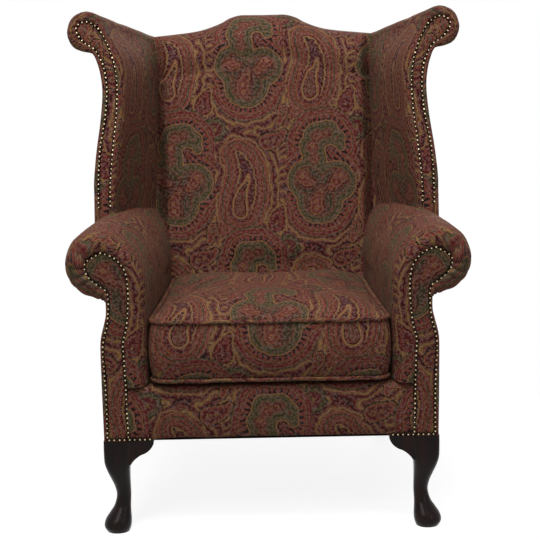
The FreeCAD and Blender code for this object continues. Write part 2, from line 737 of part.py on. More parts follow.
def inside_back():
    """The crowned pad of the inside back, seamed to the arms and the wings."""
    low = size("deck_edge") + size("seam_gap")
    wires = [loop(crest_outline(size("back_half"), 0.0, low), at(raked_y, -size("cover") - size("seam_gap")))]
    for share, margin in ((0.0, 0.0), (0.55, 0.0), (0.80, 0.10), (0.94, 0.40), (1.0, 1.0)):
        outline = crest_outline(size("back_half"), margin * size("back_crown"), low)
        wires.append(loop(outline, at(lambda z, part=share: web_y(z) + part * (inner_y(z) - web_y(z)))))
    arms, wings = arm_volume(size("seam_gap")), wing_volume(size("seam_gap"))
    pad = carve(faceted(wires, 24.0), crest_board(0.0, size("upright_depth") + size("web")),
                arms, mirror_x(arms), wings, mirror_x(wings))
    feature("inside_back", pad)


def outside_back():
    """The flat cover of the back, from the seat rail to the crest."""
    levels = (size("rail_bottom"), size("rake_start"), TOP_OF_ALL)
    outer = [(back_y(z), z) for z in levels]
    inner = [(y - size("cover"), z) for y, z in reversed(outer)]
    outline = crest_outline(size("rear_half"), 0.0, size("rail_bottom"))
    board_of_crest = slab(outline, 0.0, 0.0, back_y(TOP_OF_ALL) + 10.0)
    feature("outside_back", across(outer + inner, size("rear_half")).common(board_of_crest))


# Seat pads and covers
def arm_inner(y):
    """Half width between the arms at a depth."""
    share = (y - ROLL_START - size("edge_round")) / (ROLL_END - ROLL_START - size("edge_round"))
    return size("arm_inner_front") + share * (size("arm_inner_rear") - size("arm_inner_front"))


def seat_deck():
    """The sprung deck: a slab under the arm pads with a raised middle under the cushion."""
    low, step, high = RAIL_TOP + 2 * size("web"), size("deck_edge"), size("deck_height")

    def slab_section(y):
        half = arm_inner(y) + size("arm_pad")
        return [(half, low), None, (half, step), None, (-half, step), None, (-half, low)]

    def raised_section(y):
        half = arm_inner(y) - 2.0
        return [(half, step), None, (half - 4.0, high), None, (4.0 - half, high), None, (-half, step)]

    start, end = POST_REAR, UPRIGHT_FRONT
    raised_end = inner_y(step) - 2.0
    base = run_of_side(slab_section(start), start, slab_section(end), end)
    raised = run_of_side(raised_section(start), start, raised_section(raised_end), raised_end)
    feature("seat_deck", base.fuse(raised).removeSplitter())


def front_border():
    """The padded front border between the arm posts, with a tab down to each leg."""
    half = min(x for x, z in (arm_post_outline()[0], arm_post_outline()[2])) - size("seam_gap")
    front, rear = -size("border_front"), POST_REAR
    top, low = size("deck_edge") - size("seam_gap"), size("border_bottom")
    rounding = size("edge_round")
    ends = []
    for y, z in ((front, low), (front, top - rounding), (front + rounding, top), (rear, top), (rear, low)):
        ends.append(Vector(-half, y, z))
    bend = Vector(-half, front + rounding * (1 - math.sqrt(0.5)), top - rounding * (1 - math.sqrt(0.5)))
    edges = [Part.LineSegment(ends[0], ends[1]).toShape(), Part.Arc(ends[1], bend, ends[2]).toShape()]
    edges += [Part.LineSegment(ends[index], ends[(index + 1) % 5]).toShape() for index in (2, 3, 4)]
    border = Part.Face(Part.Wire(edges)).extrude(Vector(2 * half, 0, 0))
    tab = Part.makeBox(size("border_tab"), rear - front, low - size("rail_bottom"),
                       Vector(half - size("border_tab"), front, size("rail_bottom")))
    feature("front_border", border.fuse([tab, mirror_x(tab)]).removeSplitter())


def dust_cover():
    """The cloth tacked under the seat frame, cut round the rear legs."""
    front, step, rear = RAIL_REAR + 2.0, UPRIGHT_FRONT - 1.0, UPRIGHT_FRONT + size("upright_depth") / 2
    inset = SIDE_INSET + 0.6 * size("rail_width")
    notch = UPRIGHT_OUTER - size("upright_width") - 1.0
    right = [(side_x(front) - inset, front), (side_x(step) - inset, step), (notch, step), (notch, rear)]
    outline = right + [(-x, y) for x, y in reversed(right)]
    low = size("rail_bottom") - size("dust_cloth")
    corners = [Vector(x, y, low) for x, y in outline]
    face = Part.Face(Part.makePolygon(corners + corners[:1]))
    feature("dust_cover", face.extrude(Vector(0, 0, size("dust_cloth"))))


# Legs
def rounded_square(x, y, z, half, share):
    """A horizontal square with rounded corners, the radius a share of its half width."""
    radius = share * half
    inner = half - radius
    turn = radius * math.sqrt(0.5)
    edges = []
    for quarter in range(4):
        angle = math.radians(90.0 * quarter)
        spin = (math.cos(angle), math.sin(angle))

        def spot(u, v):
            return Vector(x + u * spin[0] - v * spin[1], y + u * spin[1] + v * spin[0], z)

        edges.append(Part.LineSegment(spot(half, -inner), spot(half, inner)).toShape())
        middle = spot(inner + turn, inner + turn)
        edges.append(Part.Arc(spot(half, inner), middle, spot(inner, half)).toShape())
    return Part.Wire(edges)


def front_leg():
    """A cabriole leg on a pad foot: the same bold curve forwards and outwards."""
    top = size("rail_bottom")
    head, knee = size("leg_head"), size("knee_width")
    ankle, foot = size("ankle_width"), size("foot_width")
    inset = size("ankle_in")
    neck = (knee + ankle) / 2
    stations = ((top, 0.0, head, 0.12), (0.87 * top, -1.0, knee, 0.30), (0.755 * top, -0.5, knee - 2.5, 0.45),
                (0.66 * top, 0.19 * inset, neck + 4.5, 0.60), (0.566 * top, 0.51 * inset, neck - 3.0, 0.80),
                (0.472 * top, 0.84 * inset, ankle + 3.5, 0.92), (0.37 * top, inset, ankle, 0.97),
                (0.264 * top, 0.79 * inset, ankle + 4.5, 0.97), (0.193 * top, 0.37 * inset, foot - 8.5, 0.97),
                (0.123 * top, -1.0, foot + 0.5, 0.97), (0.057 * top, -2.0, foot, 0.97),
                (0.0, 5.0, foot - 12.0, 0.97))
    wires = []
    for z, drawn_in, width, share in stations:
        reach = size("leg_outer") - drawn_in - width / 2
        depth = -size("facing_front") + drawn_in + width / 2
        wires.append(rounded_square(reach, depth, z, width / 2, share))
    return faceted(wires, 30.0)


def knee_bracket(leg):
    """One shaped ear beside a front leg's knee, along the front."""
    top, length, height = size("rail_bottom"), size("ear_length"), size("ear_height")
    x = size("leg_outer") - size("leg_head")
    outline = [(x + 15.0, top), None, (x - length, top), None, (x - length, top - 0.12 * height),
               (x - 0.78 * length, top - 0.42 * height), (x - 0.46 * length, top - 0.58 * height),
               (x - 0.15 * length, top - 0.78 * height), (x + 2.0, top - height), None,
               (x + 15.0, top - height)]
    ear = slab(outline, -size("facing_front") + 1.5, 0.0, size("ear_depth"))
    return largest(ear.cut(leg))


def rear_leg():
    """A square rear leg that sweeps back to the floor."""
    top, width, depth = size("rail_bottom"), size("upright_width"), size("upright_depth")
    foot = size("rear_foot")
    x = UPRIGHT_OUTER - width / 2
    y = UPRIGHT_FRONT + depth / 2
    wires = []
    for step in range(8):
        share = step / 7
        half_x = (width + share * (foot - width)) / 2
        half_y = (depth + share * (foot - depth)) / 2
        centre = y + size("rear_sweep") * share ** 1.6
        z = top * (1 - share)
        corners = [Vector(x + half_x * a, centre + half_y * b, z)
                   for a, b in ((1, 1), (-1, 1), (-1, -1), (1, -1))]
        wires.append(Part.makePolygon(corners + corners[:1]))
    return skinned(wires)


def legs():
    """The four legs, the knee brackets and the leg bolts."""
    front = front_leg()
    ear = knee_bracket(front)
    head = size("leg_head") / 2
    centre = Vector(size("leg_outer") - head, head - size("facing_front"), 0)
    ears = [ear, ear.mirror(centre, Vector(1, 1, 0))]
    feature("knee_brackets", Part.makeCompound(ears + [mirror_x(one) for one in ears]))
    pair("front_leg", front.cut(bolt_holes))
    pair("rear_leg", rear_leg().cut(bolt_holes))
    feature("leg_bolts", Part.makeCompound([bolt(x, y) for x, y in bolt_spots]))


# Seat cushion
def cushion_rear(z):
    """Depth of the cushion's back at a height: it leans like the inside back."""
    return inner_y(z) - size("cushion_rear_gap")


def cushion_wire(z, shrink):
    """The cushion's outline at a height: rounded corners and sides that draw in."""
    corner, draw = size("cushion_corner") + 0.15 * shrink, size("cushion_draw")
    front, rear = shrink - size("cushion_front"), cushion_rear(z) - shrink
    wide = arm_inner(-size("cushion_front") + corner) - size("cushion_side_gap") - shrink
    narrow = arm_inner(cushion_rear(z)) - size("cushion_side_gap") - shrink
    turn = corner * (1 - math.sqrt(0.5))
    rear_corner = corner / 2
    rear_turn = rear_corner * (1 - math.sqrt(0.5))
    spots = [(wide - corner, front), (wide - turn, front + turn), (wide, front + corner),
             ((wide + narrow) / 2 - draw, (front + rear) / 2), (narrow, rear - rear_corner),
             (narrow - rear_turn, rear - rear_turn), (narrow - rear_corner, rear)]
    points = [Vector(x, y, z) for x, y in spots]
    points += [Vector(-x, y, z) for x, y in reversed(spots)]
    sag = Vector(0, front + draw / 2, z)
    edges = []
    for first in (0, 2, 4, 7, 9, 11):
        edges.append(Part.Arc(*points[first:first + 3]).toShape())
    edges.insert(3, Part.LineSegment(points[6], points[7]).toShape())
    edges.append(Part.Arc(points[13], sag, points[0]).toShape())
    return Part.Wire(edges)


def cushion_form(inside=0.0):
    """The crowned cushion with its seams drawn in, or its inside at a distance."""
    low = size("deck_height") + size("cushion_rest_gap")
    seam, top = size("cushion_seam"), size("cushion_top")
    groove, crown = 2 * size("piping") + size("cushion_rest_gap"), size("cushion_crown")
    stations = ((low + inside, 30.0), (seam + inside / 2, groove), (seam + 0.25 * (top - seam), 1.0),
                (seam + 0.75 * (top - seam), 1.0), (top - inside / 2, groove),
                (top + 0.45 * crown - inside, 34.0), (top + 0.80 * crown - inside, 85.0),
                (top + crown - inside, 150.0))
    return faceted([cushion_wire(z, shrink + inside) for z, shrink in stations], 30.0)


def piping_ring(z):
    """Piping round the cushion at one seam: an eight-sided cord."""
    radius = size("piping")
    turns = [math.radians(angle) for angle in (-90, -45, 0, 45, 90)]

    def shell(sign):
        return faceted([cushion_wire(z + radius * math.sin(turn), radius - sign * radius * math.cos(turn))
                        for turn in turns], 30.0)

    return shell(1).cut(shell(-1))


def zip_band(low, high, near, far):
    """A band on the cushion's back: a prism between two heights and two distances behind the cover."""
    cover_y = [(cushion_rear(z) - 1.0, z) for z in (low, high)]
    (y_low, low), (y_high, high) = cover_y
    return [(y_low + near, low), (y_low + far, low), (y_high + far, high), (y_high + near, high)]


def cushion():
    """Cover, foam core, piping and the zip of the loose seat cushion."""
    whole = cushion_form()
    feature("cushion_cover", whole.cut(cushion_form(size("casing"))))
    feature("cushion_core", cushion_form(size("casing") + size("cushion_rest_gap")))
    rings = [piping_ring(size("cushion_seam")), piping_ring(size("cushion_top"))]
    feature("cushion_piping", Part.makeCompound(rings))
    middle = (size("cushion_seam") + size("cushion_top")) / 2
    half = size("zip_width") / 2
    chain = across(zip_band(middle - half, middle + half, 0.0, size("zip_depth")), size("zip_half"))
    feature("zip_chain", chain)
    length, gap = size("slider_length"), size("cushion_rest_gap")
    near = size("zip_depth") + gap
    head = across(zip_band(middle - half - 1.5, middle + half + 1.5, near, near + 2.2), length / 2)
    tab = across(zip_band(middle - half - 20.0, middle - half, near, near + 1.2), length / 4)
    slider = head.fuse(tab).removeSplitter()
    slider.translate(Vector(size("zip_half") - length, 0, 0))
    feature("zip_slider", slider)


seat_frame()
uprights()
crest_rail()
arm_parts()
wing_parts()
webbing()
inside_back()
outside_back()
seat_deck()
front_border()
dust_cover()
legs()
cushion()
doc.recompute()

# Centre the chair over its origin
box = FreeCAD.BoundBox()
for piece in pieces:
    box.add(piece.Shape.optimalBoundingBox(False))
centre_shift = Vector(-(box.XMin + box.XMax) / 2, -(box.YMin + box.YMax) / 2, 0)
for piece in pieces:
    if piece not in mirrored:
        piece.Placement.Base = piece.Placement.Base + centre_shift
doc.recompute()

for item in doc.Objects:
    if "Invalid" in item.State or "Error" in item.State:
        raise RuntimeError("%s failed: %s" % (item.Label, item.State))
for piece in pieces:
    if piece.Shape.isNull() or not piece.Shape.isValid():
        raise RuntimeError("%s has no valid shape" % piece.Label)

os.makedirs(OUTPUT, exist_ok=True)
for piece in pieces:
    piece.Shape.exportStep(os.path.join(OUTPUT, piece.Label + ".step"))
print("moved back by %.3f mm to stand over the origin" % centre_shift.y)
for piece in pieces:
    solids = piece.Shape.Solids
    print("%-20s %2d solids %10.1f cm3" % (piece.Label, len(solids), piece.Shape.Volume / 1000))
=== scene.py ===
"""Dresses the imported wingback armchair: paisley upholstery, nail trim, piped cushion and mahogany legs."""

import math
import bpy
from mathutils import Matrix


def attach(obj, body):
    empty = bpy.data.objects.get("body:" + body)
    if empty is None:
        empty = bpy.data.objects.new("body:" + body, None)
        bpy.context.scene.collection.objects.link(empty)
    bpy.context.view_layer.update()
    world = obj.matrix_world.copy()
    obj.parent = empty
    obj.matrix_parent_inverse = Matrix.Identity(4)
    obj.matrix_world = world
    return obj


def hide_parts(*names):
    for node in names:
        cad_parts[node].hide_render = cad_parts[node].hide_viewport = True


bl_info = {
    "name": "Wingback armchair dressing",
    "version": (1, 0, 0),
    "blender": (4, 5, 0),
    "location": "3D View > Sidebar > Armchair",
    "description": "Upholsters the frame of a wingback armchair piece by piece",
    "category": "Object",
}

import bmesh
import bpy
import numpy as np
from mathutils import Matrix, Vector, noise

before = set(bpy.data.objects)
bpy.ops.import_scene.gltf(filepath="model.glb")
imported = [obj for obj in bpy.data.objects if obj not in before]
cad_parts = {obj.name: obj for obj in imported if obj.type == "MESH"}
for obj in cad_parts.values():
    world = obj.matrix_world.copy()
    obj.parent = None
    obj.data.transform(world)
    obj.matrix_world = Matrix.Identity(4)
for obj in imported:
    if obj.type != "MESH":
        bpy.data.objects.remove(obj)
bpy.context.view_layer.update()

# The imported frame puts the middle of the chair's depth on its origin, which moves everything back by this
# many millimetres from the drawing that the sizes below come from.
SHIFT = 14.606

# Sizes in millimetres of the drawing: the plane of the arm fronts, the underside of the rails, and the seams
# at the bottom and the top of the cushion's boxing.
FRONT = -393.0
UNDERSIDE = 212.0
CUSHION_LOW, CUSHION_HIGH = 347.0, 478.0
# The wings' fronts lean back by this many degrees, and the nails stand this many millimetres apart.
WING_LEAN = 10.3
NAIL_PITCH = 10.7
# Points along each of the cushion's four sides, and rings of them up its boxing.
CUSHION_STEPS, CUSHION_RINGS = 60, 15


# Numbers and curves


def ease(value):
    """Smooth step from 0 to 1."""
    value = np.clip(value, 0.0, 1.0)
    return value * value * (3.0 - 2.0 * value)


def walked(line):
    """Length walked along a polyline up to each of its points."""
    steps = np.linalg.norm(np.diff(line, axis=0), axis=1)
    return np.concatenate([[0.0], np.cumsum(steps)])


def evenly(line, count):
    """A polyline resampled to count points spaced evenly along its length."""
    along = walked(line)
    wanted = np.linspace(0.0, along[-1], count)
    return np.stack([np.interp(wanted, along, line[:, axis]) for axis in range(line.shape[1])], axis=1)


def through(points, per=9):
    """A smooth curve with the same number of points between each pair of its marks."""
    points = np.array(points, float)
    padded = np.vstack([2 * points[0] - points[1], points, 2 * points[-1] - points[-2]])
    t = np.linspace(0.0, 1.0, per, endpoint=False)[:, None]
    line = []
    for index in range(1, len(padded) - 2):
        p0, p1, p2, p3 = padded[index - 1:index + 3]
        line.append(0.5 * (2 * p1 + (p2 - p0) * t + (2 * p0 - 5 * p1 + 4 * p2 - p3) * t ** 2
                           + (3 * p1 - p0 - 3 * p2 + p3) * t ** 3))
    return np.vstack(line + [points[-1][None, :]])


def smooth_line(points, count):
    """A smooth curve through points, as count points spaced evenly along it."""
    return evenly(through(points, 16), count)


def run_lengths(grid, axis):
    """Length walked along one axis of a grid of points, in metres."""
    steps = np.linalg.norm(np.diff(grid, axis=axis), axis=2) / 1000.0
    start = np.zeros_like(np.take(steps, [0], axis=axis))
    return np.concatenate([start, np.cumsum(steps, axis=axis)], axis=axis)


def side_x(y):
    """Half width of the body between its front and back corners, seen from above."""
    return 368.0 - 43.0 * (y - FRONT) / 628.0


def back_y(z):
    """Outside of the back: upright to the rake's start, then leaning back by 11.5 degrees."""
    return 235.0 + max(0.0, z - 430.0) * math.tan(math.radians(11.5))


def raked_y(z):
    """Outside of the back's raked part, carried on in a straight line."""
    return 235.0 + (z - 430.0) * math.tan(math.radians(11.5))


def inner_y(z):
    """Face of the inside back, which leans back by 13 degrees."""
    return 112.0 + (z - CUSHION_HIGH) * math.tan(math.radians(13.0))


def wing_y(z):
    """Plane of the wing facings, which lean back by 10.3 degrees."""
    return -90.0 + (z - 655.0) * math.tan(math.radians(WING_LEAN))


def arm_inner(y):
    """Inner face of an arm, as its distance from the chair's middle."""
    return 264.0 - 33.0 * (y + 382.0) / 692.2


# Meshes


def link(name, verts, faces, smooth=True):
    """A new mesh object from points in millimetres of the drawing."""
    mesh = bpy.data.meshes.new(name)
    points = (np.array(verts, float) + (0.0, SHIFT, 0.0)) / 1000.0
    mesh.from_pydata(points.tolist(), [], faces)
    mesh.polygons.foreach_set("use_smooth", [smooth] * len(mesh.polygons))
    obj = bpy.data.objects.new(name, mesh)
    bpy.context.scene.collection.objects.link(obj)
    return obj


def cloth_grid(name, grid, u=None, v=None, wrap=False, thick=3.0, turn=False):
    """A cloth surface from a grid of points, with weave coordinates in metres and a turned-in thickness."""
    rows, columns = grid.shape[:2]
    index = np.arange(rows * columns).reshape(rows, columns)
    faces = []
    last = columns if wrap else columns - 1
    for row in range(rows - 1):
        for column in range(last):
            other = (column + 1) % columns
            quad = (index[row, column], index[row, other], index[row + 1, other], index[row + 1, column])
            faces.append(tuple(int(i) for i in (reversed(quad) if turn else quad)))
    obj = link(name, grid.reshape(-1, 3), faces)
    u = run_lengths(grid, 1) if u is None else u
    v = run_lengths(grid, 0) if v is None else v
    weave(obj, np.stack([u.reshape(-1), v.reshape(-1)], axis=1))
    if thick:
        apply(obj, "SOLIDIFY", thickness=thick / 1000.0, offset=-1.0)
    return obj


def weave(obj, coordinates):
    """Writes weave coordinates, in metres, one pair for each vertex."""
    layer = obj.data.uv_layers.new(name="Weave")
    loops = np.empty(len(obj.data.loops), int)
    obj.data.loops.foreach_get("vertex_index", loops)
    layer.data.foreach_set("uv", coordinates[loops].astype(np.float32).reshape(-1))


def apply(obj, kind, **settings):
    """Adds a modifier with its settings and applies it at once."""
    modifier = obj.modifiers.new(kind, kind)
    for key, value in settings.items():
        setattr(modifier, key, value)
    bpy.context.view_layer.objects.active = obj
    bpy.ops.object.modifier_apply(modifier=modifier.name)
    return obj


def mirrored(obj, name):
    """The same piece on the other side of the chair."""
    twin = obj.copy()
    twin.data = obj.data.copy()
    twin.name = twin.data.name = name
    bpy.context.scene.collection.objects.link(twin)
    twin.data.transform(Matrix.Diagonal((-1.0, 1.0, 1.0, 1.0)))
    twin.data.flip_normals()
    return twin


def finish_piece(obj, body, slot, material, *nodes):
    """Gives a piece its material, the body it moves with and the nodes that it stands for."""
    obj.data.materials.clear()
    obj.data.materials.append(MATERIALS[material])
    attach(obj, body)
    if nodes:
        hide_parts(*nodes)
    return obj


def both_sides(piece, slot, material, node=None):
    """Finishes a right-hand piece of the chair and its mirror image on the left."""
    stem = piece.name.removesuffix("_right")
    pieces = ((piece, "_right"), (mirrored(piece, stem + "_left"), "_left"))
    for obj, side in pieces:
        finish_piece(obj, "chair", slot, material, *([node + side] if node else []))
    return [obj for obj, side in pieces]


# Materials


def linear(code):
    """An sRGB hex colour as linear RGBA."""
    parts = [int(code[i:i + 2], 16) / 255.0 for i in (1, 3, 5)]
    return tuple(c / 12.92 if c <= 0.04045 else ((c + 0.055) / 1.055) ** 2.4 for c in parts) + (1.0,)


def plug(tree, socket, value):
    """Feeds a socket from a node, from another socket or with a plain value; None leaves it alone."""
    if isinstance(value, bpy.types.Node):
        value = value.outputs[0]
    if isinstance(value, bpy.types.NodeSocket):
        tree.links.new(value, socket)
    elif value is not None:
        socket.default_value = value


def add(tree, kind, *inputs, stops=(), **settings):
    """Adds a node with its settings, its ramp stops and its inputs in order."""
    node = tree.nodes.new("ShaderNode" + kind)
    for key, value in settings.items():
        setattr(node, key, value)
    for place, (position, colour) in enumerate(stops):
        ramp = node.color_ramp.elements
        stop = ramp[place] if place < 2 else ramp.new(position)
        stop.position = position
        stop.color = linear(colour) if isinstance(colour, str) else colour
    for socket, value in zip(node.inputs, inputs):
        plug(tree, socket, value)
    return node


def wire(tree, shader, **sockets):
    """Feeds sockets of a shader by name, with underscores for spaces."""
    for name, value in sockets.items():
        plug(tree, shader.inputs[name.replace("_", " ")], value)


def empty_tree(owner):
    """The node tree of a material or a world, with nothing in it."""
    owner.use_nodes = True
    owner.node_tree.nodes.clear()
    return owner.node_tree


def new_material(name):
    """An empty node material with a surface shader; returns the material, its tree and the shader."""
    material = bpy.data.materials.new(name)
    tree = empty_tree(material)
    shader = add(tree, "BsdfPrincipled")
    add(tree, "OutputMaterial", shader, target="ALL")
    return material, tree, shader


def blob(tree, point, circles, blend):
    """Distance in millimetres from the edge of a motif made of overlapping circles."""
    distance = None
    for x, y, radius in circles:
        away = add(tree, "VectorMath", point, (x, y, 0.0), operation="DISTANCE").outputs["Value"]
        edge = add(tree, "Math", away, radius, operation="SUBTRACT")
        if distance is None:
            distance = edge
        else:
            distance = add(tree, "Math", distance, edge, blend, operation="SMOOTH_MIN")
    return distance


def spokes(tree, point, x, y, count):
    """A wave from -1 to 1 that runs count times round a point."""
    moved = add(tree, "VectorMath", point, (x, y, 0.0), operation="SUBTRACT")
    split = add(tree, "SeparateXYZ", moved)
    angle = add(tree, "Math", split.outputs["Y"], split.outputs["X"], operation="ARCTAN2")
    turned = add(tree, "Math", angle, float(count), operation="MULTIPLY")
    return add(tree, "Math", turned, operation="SINE")


def half_drop(tree, point, x, y, fabric):
    """Place relative to the nearest copy of a motif at x, y, in columns that step down by half a repeat."""
    width, drop = fabric.repeat_width * 1000, fabric.repeat_height * 1000
    moved = add(tree, "VectorMath", point, (x, y, 0.0), operation="SUBTRACT")
    split = add(tree, "SeparateXYZ", moved)
    column = add(tree, "Math", add(tree, "Math", split.outputs["X"], width / 2, operation="DIVIDE"),
                 operation="ROUND")
    across = add(tree, "Math", column, -width / 2, split.outputs["X"], operation="MULTIPLY_ADD")
    odd = add(tree, "Math", column, 2.0, operation="FLOORED_MODULO")
    down = add(tree, "Math", odd, -drop / 2, split.outputs["Y"], operation="MULTIPLY_ADD")
    wrapped = add(tree, "Math", down, drop / 2, -drop / 2, operation="WRAP")
    return add(tree, "CombineXYZ", across, wrapped)


def bands(tree, distance, low, high, stops):
    """Colours in bands by distance in millimetres, with crisp but not hard edges."""
    share = add(tree, "MapRange", distance, low, high, 0.0, 1.0)
    places = []
    for index, (start, colour) in enumerate(stops):
        place = (start - low) / (high - low)
        places.append((max(0.0, place), colour))
        if index + 1 < len(stops):
            end = (stops[index + 1][0] - 0.8 - low) / (high - low)
            if (end - place) * (high - low) > 1.4:
                places.append((min(1.0, end), colour))
    return add(tree, "ValToRGB", share, stops=places)


def lay_over(tree, ground, motif, distance, edge):
    """Paints a motif over a ground inside the given distance from its edge."""
    inside = add(tree, "MapRange", distance, edge, edge + 1.2, 1.0, 0.0)
    return add(tree, "MixRGB", inside, ground, motif)


def trefoil(tree, point, fabric):
    """Trefoil with a curled plume above it, the largest motif: distance from its edge, and its colours."""
    rust, ochre, dark, olive, moss = fabric.rust, fabric.ochre, fabric.outline, fabric.olive, fabric.moss
    wine, ground = fabric.wine, fabric.ground
    main = half_drop(tree, point, 0.0, 0.0, fabric)
    body = blob(tree, main, ((-33, 18, 48), (33, 14, 47), (-6, -34, 51), (-18, 70, 27), (-22, 98, 28),
                             (-9, 126, 30), (15, 132, 26), (38, 119, 17), (47, 98, 9)), 9.0)
    drops = blob(tree, main, (
        (-48, 28, 0), (-38, 15, -4), (-25, 14, -9), (44, 27, 0), (34, 13, -3), (22, 1, -8), (-13, -50, 0),
        (-14, -33, -1), (-7, -17, -5), (0, -4, -10), (-16, 66, -9), (-20, 82, -4), (-22, 102, 0),
        (-8, 121, -3), (9, 128, -8)), 3.0)
    # Rays that fan out from the middle of each lobe and of the plume.
    split = add(tree, "SeparateXYZ", main)
    right = add(tree, "MapRange", split.outputs["X"], -3.0, 0.0, 0.0, 1.0)
    low = add(tree, "MapRange", split.outputs["Y"], -16.0, -19.0, 0.0, 1.0)
    high = add(tree, "MapRange", split.outputs["Y"], 58.0, 61.0, 0.0, 1.0)
    wave = add(tree, "MixRGB", right, spokes(tree, main, -33, 18, 34), spokes(tree, main, 33, 14, 34))
    wave = add(tree, "MixRGB", low, wave, spokes(tree, main, -6, -34, 36))
    wave = add(tree, "MixRGB", high, wave, spokes(tree, main, 0, 112, 30))
    # Teeth stand on the green band and point outwards across the rim.
    tooth = add(tree, "Math", wave, 7.0, body, operation="MULTIPLY_ADD")
    ring = bands(tree, body, -24.0, 48.0, (
        (-24.0, ground), (-18.0, ochre), (-16.5, dark), (-14.5, rust), (-12.5, olive), (-8.5, moss),
        (-5.0, olive), (0.5, dark), (2.0, ochre), (4.5, rust), (19.5, ochre), (21.5, dark), (23.5, rust),
        (28.0, wine), (31.0, rust), (34.0, olive), (37.0, dark)))
    cone = add(tree, "MapRange", tooth, 9.5, 11.0, 1.0, 0.0)
    in_ring = add(tree, "MapRange", body, 4.0, 5.0, 0.0, 1.0)
    toothed = add(tree, "Math", cone, in_ring, operation="MULTIPLY")
    ring = add(tree, "MixRGB", toothed, ring, dark)
    beads = add(tree, "Math", wave, 1.3, drops, operation="MULTIPLY_ADD")
    hearts = bands(tree, beads, 0.0, 34.0, (
        (0.0, wine), (2.5, ochre), (5.0, rust), (9.0, dark), (11.0, rust), (14.5, ochre), (16.5, dark),
        (18.5, wine), (21.5, ground), (24.0, dark), (26.0, moss)))
    inner_wave = add(tree, "Math", wave, 1.2, body, operation="MULTIPLY_ADD")
    return body, lay_over(tree, ring, hearts, inner_wave, -18.0)


def upright_plume(tree, point, fabric):
    """Upright plume with a smaller one curled up inside it: distance from its edge, and its colours."""
    rust, ochre, dark, olive = fabric.rust, fabric.ochre, fabric.outline, fabric.olive
    plum, wine, ground = fabric.plum, fabric.wine, fabric.ground
    tall = half_drop(tree, point, -16.0, -274.0, fabric)
    plume = blob(tree, tall, ((-8, -62, 31), (-2, -40, 32), (4, -18, 30), (8, 4, 27), (8, 26, 24),
                              (3, 46, 21), (-5, 62, 17), (-15, 73, 12)), 14.0)
    rise = add(tree, "Math", add(tree, "SeparateXYZ", tall).outputs["Y"], 0.55, operation="MULTIPLY")
    ripple = add(tree, "Math", rise, operation="SINE")
    fringe = add(tree, "Math", ripple, 0.9, plume, operation="MULTIPLY_ADD")
    colour = bands(tree, fringe, -34.0, 30.0, (
        (-34.0, plum), (-13.0, wine), (-10.5, dark), (-8.0, ochre), (-4.5, wine), (-2.0, dark), (0.0, rust),
        (5.0, ochre), (7.0, dark), (9.0, rust), (14.0, olive), (17.0, dark), (19.0, rust), (24.0, ochre),
        (26.0, wine)))
    curl = blob(tree, tall, ((-9, -64, 17), (-10, -53, 16), (-9, -42, 14), (-6, -30, 12), (-2, -18, 9),
                             (3, -7, 7), (7, 3, 5), (10, 12, 3), (10, 21, 1)), 8.0)
    curl_colour = bands(tree, curl, -18.0, 10.0, (
        (-18.0, ground), (-8.0, dark), (-6.0, rust), (-3.5, dark), (-1.0, ochre), (3.0, rust), (5.5, dark),
        (7.5, wine)))
    return plume, lay_over(tree, colour, curl_colour, curl, 7.5)


def echo_lines(tree, point, near_both, fabric):
    """Ground: scalloped lines 17 mm apart that echo the large motifs."""
    rust, ochre, dark = fabric.rust, fabric.ochre, fabric.outline
    olive, wine, ground = fabric.olive, fabric.wine, fabric.ground
    scallop = add(tree, "TexNoise", point, None, 0.034, 2.0, noise_dimensions="2D")
    echo = add(tree, "Math", near_both, 0.36, operation="MULTIPLY")
    echo = add(tree, "Math", scallop.outputs["Fac"], 9.0, echo, operation="MULTIPLY_ADD")
    lines = add(tree, "Math", echo, operation="SINE")
    return add(tree, "ValToRGB", add(tree, "MapRange", lines, -1.0, 1.0, 0.0, 1.0),
               stops=((0.0, dark), (0.08, wine), (0.24, wine), (0.30, rust), (0.46, ground), (0.62, rust),
                      (0.72, ground), (0.84, olive), (0.92, ochre), (1.0, ochre)))


